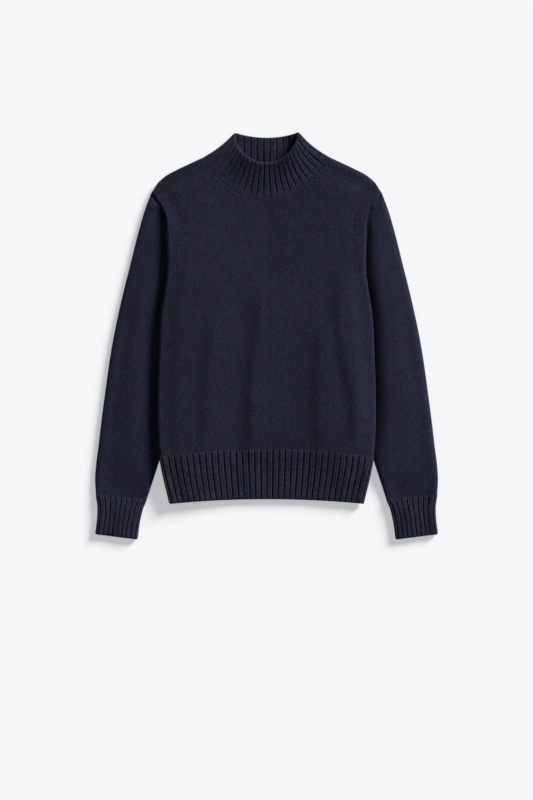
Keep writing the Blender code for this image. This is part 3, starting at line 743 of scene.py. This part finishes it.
# ---- Back ----------------------------------------------------------------------------------------
# The back panel, in the same stockinette, sewn to the front at the sides and shoulders, with a higher
# neckline. The garment lies on it, so it is flat where it rests, with a few shallow folds pressed into it.

BACK_NECK = 0.2870
BACK_FOLDS = (
    Fold(0.0009, 0.012, ((0.020, 0.200), (0.012, 0.060), (0.026, -0.060), (0.022, -0.180))),
    Fold(0.0007, 0.010, ((-0.060, 0.120), (-0.072, -0.020), (-0.066, -0.170))),
    Fold(0.0008, 0.011, ((0.088, 0.060), (0.098, -0.060), (0.092, -0.165))),
)


def back_face(plan):
    """The outer face of the back cloth, its underside as it lies."""
    edge = edge_distance(plan)
    half = half_thickness(edge)
    z = lift(plan) + half - half * roll(edge) + folded(plan, BACK_FOLDS) * ease(edge / EDGE_EASE)
    return np.concatenate([plan, z[..., None]], axis=-1)


def make_back():
    """The back panel."""
    columns, rows = np.linspace(0, 1, 103), np.linspace(0, 1, 133)
    plan = panel_plan(hem_seam, body_top(BACK_NECK), columns, rows, rolled_top=True)
    face = back_face(plan[:, ::-1])
    piece = shell("back_knit", face, inner_face(face, -1), cloth_of(face), coarse=(4, 4))
    piece.data.materials.append(knit("wool_stockinette_back", BODY_YARN))
    return piece


back = make_back()
dress(back, "back")

# ---- Hem -----------------------------------------------------------------------------------------
# A band of 2 by 2 rib at the foot of the front and one at the foot of the back, knitted on below the
# stockinette. Each rib is two raised columns of stitches beside a deep groove. It ends in a cast-on edge.

HEM_END_DROP = 0.0080    # how much lower the hem's end is at the sides
HEM_LENGTH = 0.0875
HEM_RIBS = 34
RIB_COLUMNS = 12         # points across one rib
RIB_RISE = 0.0014        # how far a rib stands out from the plain cloth
RIB_DEPTH = 0.0009       # how far a groove sinks in
UNDER_DEPTH = 0.0017     # how deep a groove is on the side that rests, where the ribs are pressed flat
FOLD_RIBS = 0.75         # ribs round one quarter turn of a folded edge
RIB_FADE = 0.0045        # how far the ribs take to rise from the plain knit
RIB_DIP = 0.0004         # how far a rib sinks in between its two columns of stitches
END_RADIUS = 0.0013      # the rounding of a free edge
END_STEPS = (0, 0.15, 0.4, 0.75, 1.1)    # steps in from a free edge, in its radius
END_DRAW = 0.6           # how far the inner face draws in there, beside the outer one
END_FLAT = 0.35          # how much of the ribs is left at a free edge
END_PLAIN = 0.0006       # how far in they stay as low as that
END_FADE = 0.0034        # and how far they then take to be full
END_LINK = Stitch(pitch=WALE, size=(0.0034, 0.0018, 0.0017))
LINK_LEGS = 0.0015       # between the two legs of a link
LINK_LEAN = math.radians(28)
LINK_DEPTH = 0.40        # how far into the wall the chain lies
LINK_OUT = 0.0010        # how far it lies inside the edge
LINK_LOWEST = 0.0021
RIB_YARN = Yarn(colour="1e2438", fleck="26253b", hollow="0b0d17")


def hem_end(x):
    """Height of the hem's lower edge, lower at the sides."""
    return HEM_END - HEM_END_DROP * (np.asarray(x) / SIDE_LINE[0].half_width) ** 2


def rounded_end(away):
    """How far a face draws in at that distance from its free edge."""
    return END_RADIUS * (1 - np.sqrt(1 - (1 - np.clip(away / END_RADIUS, 0, 1)) ** 2))


def end_rows(length, count):
    """Shares of a ribbed piece's length, close together at its free end, which is at 0."""
    end = np.array(END_STEPS) * END_RADIUS / length
    return np.concatenate([end, np.linspace(1.6 * END_RADIUS / length, 1, count)])


def fold_ribs():
    """Ribs between each of ROLL_STEPS and the flat."""
    return FOLD_RIBS * np.arcsin(1 - np.array(ROLL_STEPS)) / (math.pi / 2)


def rib_columns(ribs):
    """The rib that each column of a width lies on, where spread() places them. The first groove is 0."""
    turn = fold_ribs()
    return np.concatenate([-turn, np.linspace(0, ribs, ribs * RIB_COLUMNS + 1), ribs + turn[::-1]])


def rib_cloth(rib, up):
    """The place on the cloth of points on a rib: two stitches to each rib, and none across its groove."""
    stitches = 2 * np.floor(rib) + np.clip((rib - np.floor(rib) - 0.1) / 0.4, 0, 2)
    return np.stack([stitches * WALE, up], axis=-1)


def rib_relief():
    """A tree that moves points along 'facing': out on the ribs, and in at the grooves.

    'rib' counts the ribs, 'top' is 1 on the upper side and 0 where it rests, and 'fade' is how much of the
    relief there is.
    """
    inputs = {"Cloth": "Geometry", "Rise": "Float", "Depth": "Float", "Under depth": "Float",
              "Dip between stitches": "Float", "Yarn": "Material"}
    tree, given = geometry_tree("rib_relief", inputs, "Cloth")
    read = {
        word: add(tree, "GeometryNodeInputNamedAttribute", {"Name": word}, data_type=kind)[0]
        for word, kind in {"rib": "FLOAT", "top": "FLOAT", "fade": "FLOAT", "facing": "FLOAT_VECTOR"}.items()
    }
    place = add(tree, "ShaderNodeMath", {0: read["rib"]}, operation="FRACT")[0]
    place = add(tree, "ShaderNodeMath", {0: place, 1: 0.5}, operation="SUBTRACT")[0]
    off_middle = add(tree, "ShaderNodeMath", {0: place}, operation="ABSOLUTE")[0]
    crown, dip = (
        add(tree, "ShaderNodeMapRange", {0: off_middle, 1: high_to, 2: low_from, 3: 1.0, 4: 0.0},
            interpolation_type="SMOOTHSTEP")[0]
        for high_to, low_from in ((0.33, 0.49), (0.0, 0.10))
    )
    dip = add(tree, "ShaderNodeMath", {0: dip, 1: given["Dip between stitches"]}, operation="MULTIPLY")[0]
    high = add(tree, "ShaderNodeMath", {0: given["Rise"], 1: read["top"]}, operation="MULTIPLY")[0]
    high = add(tree, "ShaderNodeMath", {0: high, 1: dip}, operation="SUBTRACT")[0]
    deep = add(tree, "ShaderNodeMix", {0: read["top"], 2: given["Under depth"], 3: given["Depth"]})[0]
    low = add(tree, "ShaderNodeMath", {0: deep, 1: -1.0}, operation="MULTIPLY")[0]
    out = add(tree, "ShaderNodeMix", {0: crown, 2: low, 3: high})[0]
    out = add(tree, "ShaderNodeMath", {0: out, 1: read["fade"]}, operation="MULTIPLY")[0]
    move = add(tree, "ShaderNodeVectorMath", {0: read["facing"], "Scale": out}, operation="SCALE")[0]
    moved = add(tree, "GeometryNodeSetPosition", {"Geometry": given["Cloth"], "Offset": move})[0]
    # Painted shade for the grooves: how deep in a groove each point lies, which the knit paints darker
    groove_shade = add(tree, "ShaderNodeMapRange", {0: crown, 1: 0.0, 2: 0.8, 3: read["fade"], 4: 0.0})[0]
    moved = add(tree, "GeometryNodeStoreNamedAttribute", {
        "Geometry": moved, "Name": "groove_shade", "Value": groove_shade,
    })[0]
    moved = add(tree, "GeometryNodeRealizeInstances", {0: moved})[0]
    moved = add(tree, "GeometryNodeSetMaterial", {"Geometry": moved, "Material": given["Yarn"]})[0]
    add(tree, "NodeGroupOutput", {0: moved})
    return tree


RIB_TREE = rib_relief()


def flatter_end(away):
    """How much of the ribs is left at that distance from a cast-on or bound-off edge."""
    return END_FLAT + (1 - END_FLAT) * ease((away - END_PLAIN) / END_FADE)


def end_chain(name, outer_end, inner_end, ends_towards, outwards, yarn):
    """The chain of V-shaped links that a ribbed piece begins or ends with, along its free edge."""
    ends_towards = unit(ends_towards)
    middle = outer_end + (inner_end - outer_end) * LINK_DEPTH - LINK_OUT * ends_towards
    middle[:, 2] = np.maximum(middle[:, 2], LINK_LOWEST)
    outwards = unit(ends_towards + outwards)
    across = unit(np.cross(np.gradient(middle, axis=0), outwards)) * LINK_LEGS / 2
    legs = [Line(middle + side * across, outwards, -side * LINK_LEAN) for side in (-1, 1)]
    return sew(name, legs, END_LINK, name + "_yarn", yarn)


def raise_ribs(piece, yarn_name, yarn):
    """Raises the ribs of a piece, and gives it its material."""
    apply_tree(piece, RIB_TREE, {
        "Rise": RIB_RISE, "Depth": RIB_DEPTH, "Under depth": UNDER_DEPTH, "Dip between stitches": RIB_DIP,
        "Yarn": knit(yarn_name, yarn),
    })


def ribbed_band(node, face, inner, rib, up, down, top, closed=False):
    """A band of rib that lies 'up' from its cast-on edge and 'down' from the plain knit, and that edge."""
    normal = facing(face, closed)
    draw_in = rounded_end(up)[..., None] * normal
    outer, inner = face - draw_in, inner + draw_in * END_DRAW
    plain = np.zeros(rib.shape)
    piece = shell(
        node + "_knit", outer, inner, rib_cloth(rib, up), closed=closed, coarse=(4, 6),
        facing=(normal, -normal), rib=(rib, rib), top=(top, plain),
        fade=(ease(down / RIB_FADE) * flatter_end(up), plain),
    )
    raise_ribs(piece, "wool_rib_" + node, RIB_YARN)
    name, outwards = node + "_cast_on", normal[0] * 0.2
    return piece, end_chain(name, outer[0], inner[0], face[0] - face[5], outwards, RIB_YARN)


def make_hem(node, side):
    """The front's half of the hem (side 1) or the back's (-1), and its cast-on edge."""
    flat = np.linspace(0, 1, HEM_RIBS * RIB_COLUMNS + 1)
    rows = end_rows(HEM_LENGTH, 36)
    plan = panel_plan(hem_end, hem_seam, flat, rows, rolled_top=False)
    rib = np.tile(rib_columns(HEM_RIBS), (len(rows), 1))
    if side < 0:
        plan, rib = plan[:, ::-1], rib[:, ::-1]
    face = front_face(plan) if side > 0 else back_face(plan)
    up = plan[..., 1] - hem_end(plan[..., 0])
    down = hem_seam(plan[..., 0]) - plan[..., 1]
    top = 0.5 + 0.5 * side * roll(edge_distance(plan))
    return ribbed_band(node, face, inner_face(face, side), rib, up, down, top)


hem_front, front_cast_on = make_hem("hem_front", 1)
hem_back, back_cast_on = make_hem("hem_back", -1)
dress(hem_front, "hem_front",
      with_pieces=[front_cast_on])
dress(hem_back, "hem_back", with_pieces=[back_cast_on])

# ---- Collar --------------------------------------------------------------------------------------
# A funnel neck of 2 by 2 rib, linked on round the neckline. It narrows to its rim, so its ribs fan out
# below it. Its front rim arches up off the back one, and the wrong side of the rib shows inside.

COLLAR_RIBS = 21
COLLAR_BACK_RIBS = 18
BACK_RIB_COLUMNS = 8     # points across one rib at the back, where it rests
INSIDE_PITCH = 0.0112    # between the ribs that show inside the back, which hang straight
INSIDE_SHARE = 0.72      # and how deep they are, beside the outer ones
COLLAR_LENGTH = 0.0640
RIM_FRONT = 0.3003       # middle of the front rim
RIM_BACK = 0.3446        # and of the back one
RIBS_START = 0.012       # how far above the seam the ribs have risen
RIBS_FULL = 0.045        # and how far above it they are full
START_SHARE = 0.35       # how much of them there is before that
RIM_FADE = 0.003         # how far below its bound-off edge they go flat
RIM_SHARE = 0.15         # and how much of them is left there
COLLAR_HALF = 0.070      # how far from the middle they are deeper on the left, and less deep on the right
RIM_LIFT = 0.0105        # how far the front rim arches up off its flat layer
BACK_RIM_LIFT = 0.0075   # and the back one
RIGHT_STAND = 0.0112     # how far the collar's right fold stands up at the rim
COLLAR_YARN = Yarn(colour="22283f", fleck="272740", hollow="090b15")


def collar_row(level, front, inner):
    """Plan points of one row round the collar, on its front or its back, from -X to +X."""
    half, side_height = smooth_path(COLLAR_SIDE, [level])[0]
    if front:
        middle = FRONT_NECK + (RIM_FRONT - FRONT_NECK) * level
    else:
        middle = BACK_NECK + (RIM_BACK - BACK_NECK) * level
    turn = np.linspace(-np.pi / 2, np.pi / 2, 241)
    bow = 2 - level if front else 2
    y = side_height - (side_height - middle) * np.abs(np.cos(turn)) ** bow
    row = np.stack([half * np.sin(turn), y], axis=-1)
    length = lengths(row)[-1]
    return along(row, spread(length, inner) / length)


def collar_ribs():
    """The rib that each column round the collar lies on: over its front, and back behind it."""
    turn = fold_ribs()
    start = COLLAR_RIBS + 2 * FOLD_RIBS
    behind = start + np.linspace(0, COLLAR_BACK_RIBS, COLLAR_BACK_RIBS * BACK_RIB_COLUMNS + 1)
    return np.concatenate([rib_columns(COLLAR_RIBS), (start - turn)[1:], behind, behind[-1] + turn[::-1]])


def make_collar():
    """The collar, and the edge that it is bound off with. Its rows run from the neckline to the rim."""
    levels = 1 - end_rows(COLLAR_LENGTH, 34)[::-1]
    front_inner = np.linspace(0, 1, COLLAR_RIBS * RIB_COLUMNS + 1)
    back_inner = np.linspace(0, 1, COLLAR_BACK_RIBS * BACK_RIB_COLUMNS + 1)
    rows, rolls = [], []
    for level in levels:
        front = collar_row(level, True, front_inner)
        back = collar_row(level, False, back_inner)
        front_edge, back_edge = edge_distance(front), edge_distance(back)
        stand = RIGHT_STAND * level**1.6

        # The front's arch is rounder on the left, and keeps its height almost to the fold on the right
        share = front[:, 0] / front[-1, 0]
        arch = RIM_LIFT * level**1.8 * (1 - np.abs(share) ** (5 + 9 * ease(share / 0.6)))
        arch = arch + stand * ease((share - 0.1) / 0.9)
        share = back[:, 0] / back[-1, 0]
        back_arch = BACK_RIM_LIFT * (1 - (1 - level) ** 3) * (1 - share**2)
        back_arch = back_arch + stand * ease((share - 0.4) / 0.6)
        front_z = half_thickness(front_edge) * (1 + roll(front_edge)) + arch
        back_z = half_thickness(back_edge) * (1 - roll(back_edge)) + back_arch
        top = np.column_stack([front, front_z])
        rows.append(np.concatenate([top, np.column_stack([back, back_z])[-2::-1]]))
        rolls.append(np.concatenate([roll(front_edge), -roll(back_edge)[-2::-1]]))
    face = np.array(rows)
    normal = facing(face, closed=True)
    x = face[..., 0]
    rib = np.tile(collar_ribs(), (len(levels), 1))
    up = np.tile((levels * COLLAR_LENGTH)[:, None], (1, face.shape[1]))
    from_rim = COLLAR_LENGTH - up
    draw_in = rounded_end(from_rim)[..., None] * normal
    outer, inner = face - draw_in, face - WALL * normal + draw_in

    # The ribs start flat at the seam and end flat at the rim, and are deeper towards the left
    # The painted shade in their grooves follows how deep they are
    fade = ease(up / RIBS_START) * (START_SHARE + (1 - START_SHARE) * ease(up / RIBS_FULL))
    fade = fade * (RIM_SHARE + (1 - RIM_SHARE) * ease((from_rim - 0.0008) / RIM_FADE))
    fade = fade * (1 + 0.25 * ease(-x / COLLAR_HALF) - 0.18 * ease(x / COLLAR_HALF))
    from_fold = edge_distance(face[..., :2])
    inside_fade = INSIDE_SHARE * ease(from_rim / 0.004) * ease((from_fold - 0.004) / 0.006)
    top = 0.5 + 0.5 * np.array(rolls)
    piece = shell(
        "collar_knit", outer, inner, rib_cloth(rib, up), closed=True,
        facing=(normal, -normal), rib=(rib, x / INSIDE_PITCH + 0.5), top=(top, np.full(top.shape, 0.4)),
        fade=(fade, inside_fade),
    )
    raise_ribs(piece, "wool_rib_collar", COLLAR_YARN)
    rim_towards, outwards = face[-1] - face[-6], normal[-1] * 0.9
    bind_off = end_chain("collar_bind_off", outer[-1], inner[-1], rim_towards, outwards, COLLAR_YARN)
    return piece, bind_off


collar, bind_off = make_collar()
dress(collar, "collar", with_pieces=[bind_off])

# ---- Sleeves -------------------------------------------------------------------------------------
# A tapered tube of stockinette on each side, seamed along its inner edge, which is tucked under the body.
# It is sewn into the armhole. Beside the body its cloth dips, then fills out towards its outer fold.

CUFF_SEAM_OUT = (0.2975, -0.2750)
SLEEVE_OUTER = (
    CUFF_SEAM_OUT, (0.2988, -0.2550), (0.2923, -0.1855), (0.2818, -0.1015), (0.2695, -0.0175),
    (0.2520, 0.0665), (0.2380, 0.1225), (0.2240, 0.1785), (0.2118, 0.2205), SHOULDER_TIP,
)
TUCKED_CAP = ((0.1690, 0.1600), (0.1360, 0.1240), (0.1000, 0.0940))
CAP_UNDER = 0.228        # below this height the cap's edge slips a little under the body
SLEEVE_ROWS = 13         # equal lengths of the sleeve, for the next two
CAP_ROWS = 4             # how many of them the cap bends
WRIST_ROWS = 2.0         # and how many the wrist rounds
WRIST_ROUND = 0.7        # how round the inner fold is at the wrist, beside the outer one
TOP_PLACES = np.linspace(0, 1, 71)
UNDER_PLACES = np.linspace(0, 1, 31)

# 'puff' is how far a sleeve fills out beyond its flat layers, 'valley' how far from the body it is full,
# and 'steep' whether it rises at once beside the body
SleeveForm = namedtuple("SleeveForm", "puff valley steep")
LEFT_FORM = SleeveForm(puff=0.0060, valley=0.045, steep=False)
RIGHT_FORM = SleeveForm(puff=0.0106, valley=0.0235, steep=True)
SLEEVE_LUMPS = {-1: Lumps(0.00035, 0.028, 10), 1: Lumps(0.00035, 0.028, 12)}
OUTER_FALL = 0.060       # how far in from its outer fold it is full
SLEEVE_ROLL = 0.0110     # how far in from that fold its upper cloth turns down
SEAM_DIP = 0.0006        # how far the armhole seam draws the cloth in
SEAM_START = 0.016       # how far below the armhole's turn the sleeve begins to follow the body
SEAM_NEAR = 0.009        # how far beside the seam it does so where that lies in a crease
SEAM_WIDER = 0.025       # and how much farther where they are level
FOLD_CLEAR = 0.020       # how far from the seam and the outer fold its soft folds take to be whole
SLEEVE_FOLDS = (
    Fold(0.0012, 0.012, ((0.2500, 0.060), (0.2440, 0.000), (0.2560, -0.090))),
    Fold(0.0009, 0.010, ((0.2700, -0.120), (0.2620, -0.190), (0.2640, -0.255))),
    Fold(-0.0007, 0.012, ((0.2180, 0.120), (0.2300, 0.030), (0.2350, -0.060))),
)


def tube_face(outer_line, inner_line, top_places, under_places, inner_round, top_roll, bend, puff):
    """The outer face of a flattened tube, in rows from the hand up.

    Each row runs from the inner fold under the tube to the outer fold, and back over it. 'inner_round' is
    how round the inner fold is, 'bend' moves the plan of the tube, and 'puff' fills out its top.
    """
    span = inner_line - outer_line
    length = np.linalg.norm(span, axis=-1)
    half_rings = []
    for places, side in ((top_places, 1), (under_places, -1)):
        shares = np.array([spread(run, places) / run for run in length])
        plan = outer_line[:, None] + span[:, None] * shares[..., None] + bend(shares)
        from_outer = nearest(plan, outer_line)[0]
        from_inner = nearest(plan, inner_line)[0]
        turned = roll(np.minimum(from_outer, from_inner), top_roll if side > 0 else EDGE_RADIUS)
        folds = np.maximum(ease(1 - from_outer / EDGE_EASE), inner_round * ease(1 - from_inner / EDGE_EASE))
        z = (HALF + (EDGE_RADIUS - HALF) * folds) * (1 + side * turned)
        if side > 0:
            z = puff(plan, from_outer, z)
        half_rings.append(np.concatenate([plan, z[..., None]], axis=-1))
    top, under = half_rings
    return np.concatenate([under[:, ::-1], top[:, 1:]], axis=1)


def round_from(face, column):
    """How far round each row its points lie, from that column."""
    step = np.linalg.norm(np.diff(face, axis=1), axis=-1)
    run = np.concatenate([np.zeros((len(face), 1)), np.cumsum(step, axis=1)], axis=1)
    return run - run[:, column][:, None]


def on_side(side, *grids):
    """Grids made for the -X side as seen from outside, with their columns turned round for +X."""
    if side < 0:
        return grids
    return tuple(grid[:, ::-1] for grid in grids)


def make_sleeve(side, node):
    """The sleeve on one side of the body, from its wrist to its shoulder."""
    form = LEFT_FORM if side < 0 else RIGHT_FORM
    lumps = SLEEVE_LUMPS[side]
    levels = np.linspace(0, 1, 141)
    outer_line = smooth_path(SLEEVE_OUTER, levels)
    inner_line = along((CUFF_SEAM_IN, UNDERARM), levels)
    heights = np.linspace(SHOULDER_TIP[1], ARMHOLE_TURN, 24)
    cap = [(half_width(y) - EDGE_RADIUS * ease((CAP_UNDER - y) / CREASE_FADE), y) for y in heights]
    cap += [*TUCKED_CAP, UNDERARM]
    rows = (levels * SLEEVE_ROWS)[:, None]

    def bend(shares):
        """Moves the sleeve's top end to the armhole's line."""
        chord = outer_line[-1] + (inner_line[-1] - outer_line[-1]) * shares[..., None]
        return (along(cap, shares) - chord) * ease((rows[..., None] - (SLEEVE_ROWS - CAP_ROWS)) / CAP_ROWS)

    def puff(plan, from_outer, flat):
        """The top of the sleeve: low beside the body, then full, then falling away to its outer fold."""
        y = plan[..., 1]
        outside = plan[..., 0] - half_width(y)
        edge = edge_distance(plan)
        beside = np.where(y < SIDE_LINE[0].y, form.valley, np.where(outside > 0, edge, 0.0))
        away = np.clip(beside / form.valley, 0, 1)
        rise = 1 - (1 - away) ** 2 if form.steep else ease(away)
        fall = 1 - (1 - np.clip(from_outer / OUTER_FALL, 0, 1)) ** 2

        # It fills out soon above the cuff, and then slowly as far as the elbow
        up_arm = 0.65 * ease(levels[:, None] / 0.17) + 0.35 * ease((levels[:, None] - 0.12) / 0.33)
        full = form.puff * rise * fall * up_arm
        soft = lumps.height * uneven(plan, lumps.size, lumps.seed)
        soft = soft * ease(from_outer / EVEN_EDGE) * ease(beside / 0.010)
        fold = folded(plan, SLEEVE_FOLDS) * ease(beside / FOLD_CLEAR) * ease(from_outer / FOLD_CLEAR)
        z = flat + full - fold + soft

        # Along the armhole it meets the body's edge: level with it above, and in a crease below
        under = np.where(outside < 0, edge, 0.0)
        share = level_share(y)
        level = lift(plan) + EDGE_RADIUS * (1 - roll(under)) * (0.3 + 0.7 * share) - SEAM_DIP
        level = level + EDGE_RADIUS * (1 - SEWN_ROLL) * sewn(plan) * (under == 0.0)
        near = ease((y - ARMHOLE_TURN + SEAM_START) / SEAM_START) * ease(from_outer / 0.010)
        near = near * ease(1 - beside / (SEAM_NEAR + SEAM_WIDER * share))
        return z + (level - z) * near

    inner_round = WRIST_ROUND * ease(1 - rows / WRIST_ROWS)
    top_roll = EDGE_RADIUS + (SLEEVE_ROLL - EDGE_RADIUS) * ease(levels[:, None] / 0.08)
    face = tube_face(outer_line, inner_line, TOP_PLACES, UNDER_PLACES, inner_round, top_roll, bend, puff)
    outer_column = len(UNDER_PLACES) + 2 * len(ROLL_STEPS) - 1
    axis = np.array(SHOULDER_TIP) - np.array(CUFF_SEAM_OUT)
    up = (face[..., :2] - np.array(CUFF_SEAM_OUT)) @ (axis / np.linalg.norm(axis))
    cloth = np.stack([round_from(face, outer_column), up], axis=-1)
    face = face * np.array([side, 1.0, 1.0])
    face, cloth = on_side(side, face, cloth)
    normal = facing(face, closed=True)

    # The wrist is cut square, so its wall has no slant along the arm
    run = outer_line[0] - inner_line[0]
    off = np.array([run[1] * side, -run[0], 0.0]) / np.linalg.norm(run)
    normal[0] = unit(normal[0] - (normal[0] @ off)[:, None] * off)
    piece = shell(node + "_knit", face, face - WALL * normal, cloth, closed=True, coarse=(4, 4))
    piece.data.materials.append(knit("wool_stockinette_" + node, BODY_YARN))
    return piece


for side, word in ((-1, "left"), (1, "right")):
    sleeve = make_sleeve(side, "sleeve_" + word)
    dress(sleeve, "sleeve_" + word)

# ---- Cuffs ---------------------------------------------------------------------------------------
# A close band of 2 by 2 rib at each wrist, in the hem's yarn, knitted on below the sleeve.
# It is a flattened tube too, a little fuller towards its inner fold, and ends in a cast-on edge.

CUFF_RIBS = 8
CUFF_LENGTH = 0.0700
CUFF_LEAN = 0.0040       # how much fuller a cuff is towards its inner fold
LEAN_RISE = 0.070        # how far in from its outer fold that is so
LEAN_FALL = 0.034        # and how far from its inner one it comes down again
LEAN_START = 0.4         # share of the cuff in which it begins, below the sleeve
CuffLevel = namedtuple("CuffLevel", "outer_x outer_y inner_x inner_y")
CUFF_LINE = (
    CuffLevel(0.2982, -0.3455, 0.2255, -0.3547),
    CuffLevel(0.2945, -0.3150, 0.2206, -0.3210),
    CuffLevel(0.2942, -0.2975, 0.2160, -0.3020),
    CuffLevel(*CUFF_SEAM_OUT, *CUFF_SEAM_IN),
)


def make_cuff(side, node):
    """The cuff on one side, and its cast-on edge."""
    heights = [row.outer_y for row in CUFF_LINE]
    shares = end_rows(CUFF_LENGTH, 30)
    at = heights[0] + (heights[-1] - heights[0]) * shares
    outer_x, outer_y, inner_x, inner_y = (smooth_line(heights, column, at) for column in zip(*CUFF_LINE))
    outer_line = np.column_stack([outer_x, outer_y])
    inner_line = np.column_stack([inner_x, inner_y])

    def straight(shares):
        """A cuff's outline is not bent."""
        return 0.0

    def lean(plan, from_outer, flat):
        """The top of the cuff, fuller towards its inner fold and level where it joins the sleeve."""
        from_inner = nearest(plan, inner_line)[0]
        full = CUFF_LEAN * ease((1 - shares[:, None]) / LEAN_START)
        return flat + full * ease(from_outer / LEAN_RISE) * ease(from_inner / LEAN_FALL)

    places = np.linspace(0, 1, CUFF_RIBS * RIB_COLUMNS + 1)
    face = tube_face(outer_line, inner_line, places, places, WRIST_ROUND, EDGE_RADIUS, straight, lean)
    top_ribs = rib_columns(CUFF_RIBS)
    under_ribs = -2 * FOLD_RIBS - top_ribs
    rib = np.tile(np.concatenate([under_ribs[::-1], top_ribs[1:]]), (len(shares), 1))
    up = np.tile((shares * CUFF_LENGTH)[:, None], (1, face.shape[1]))
    edge = np.minimum(nearest(face[..., :2], outer_line)[0], nearest(face[..., :2], inner_line)[0])
    upper = np.where(np.arange(face.shape[1]) >= len(top_ribs) - 1, 1, -1)
    top = 0.5 + 0.5 * upper * roll(edge)
    face = face * np.array([side, 1.0, 1.0])
    face, rib, up, top = on_side(side, face, rib, up, top)
    inner = face - WALL * facing(face, closed=True)
    return ribbed_band(node, face, inner, rib, up, CUFF_LENGTH - up, top, closed=True)


for side, word in ((-1, "left"), (1, "right")):
    cuff, cuff_cast_on = make_cuff(side, "cuff_" + word)
    dress(cuff, "cuff_" + word, with_pieces=[cuff_cast_on])

# ---- Floor, light and camera ---------------------------------------------------------------------
# The garment lies on pale seamless paper. A broad soft light stands low to the upper right, and the pale
# room fills in. The camera looks straight down.

PIXEL = 0.00174          # one pixel of the photograph's frame at the cloth
FRAME_ROWS = 800         # pixels down the frame
FRAME_MIDDLE = (-0.0001, -0.1116)
CLOTH_HEIGHT = 0.010
LENS = 85.0              # in millimetres
SENSOR = 36.0            # in millimetres
PAPER_REACH = 30.0


def make_floor():
    """Pale matt paper that passes a little light from below, so that shadows on it stay light."""
    mesh = bpy.data.meshes.new("paper")
    corners = [(-PAPER_REACH, -PAPER_REACH, 0), (PAPER_REACH, -PAPER_REACH, 0),
               (PAPER_REACH, PAPER_REACH, 0), (-PAPER_REACH, PAPER_REACH, 0)]
    mesh.from_pydata(corners, [], [(0, 1, 2, 3)])
    material, tree = new_material("seamless_paper")
    finish_surface(tree, {
        "Base Color": (0.69, 0.692, 0.696, 1.0), "Roughness": 0.95, "Specular IOR Level": 0.1,
        "Emission Color": linear("f4f5f8"), "Emission Strength": 0.48,
    })
    mesh.materials.append(material)
    in_scene("paper_floor", mesh)


def make_key(azimuth, elevation, strength, breadth):
    """A broad soft light, far enough off to light the whole paper evenly."""
    lamp = bpy.data.lights.new("key_light", "SUN")
    lamp.energy = strength
    lamp.angle = math.radians(breadth)
    light = in_scene("key_light", lamp)
    light.rotation_euler = (math.radians(90 - elevation), 0.0, math.radians(azimuth + 90))


def make_camera():
    """A camera over the middle of the photograph's frame, which needs no turning to look down."""
    camera = in_scene("camera", bpy.data.cameras.new("camera"))
    camera.data.lens = LENS
    camera.data.sensor_width = SENSOR
    camera.data.clip_end = 50.0
    camera.location = (*FRAME_MIDDLE, CLOTH_HEIGHT + FRAME_ROWS * PIXEL * LENS / SENSOR)
    bpy.context.scene.camera = camera


make_floor()
make_key(azimuth=44.0, elevation=22.0, strength=4.85, breadth=21.0)
make_camera()
world = bpy.data.worlds.new("pale_room")
world.use_nodes = True
world.node_tree.nodes["Background"].inputs["Color"].default_value = linear("f5f6fa")
world.node_tree.nodes["Background"].inputs["Strength"].default_value = 0.14
bpy.context.scene.world = world
bpy.context.scene.view_settings.view_transform = "Standard"
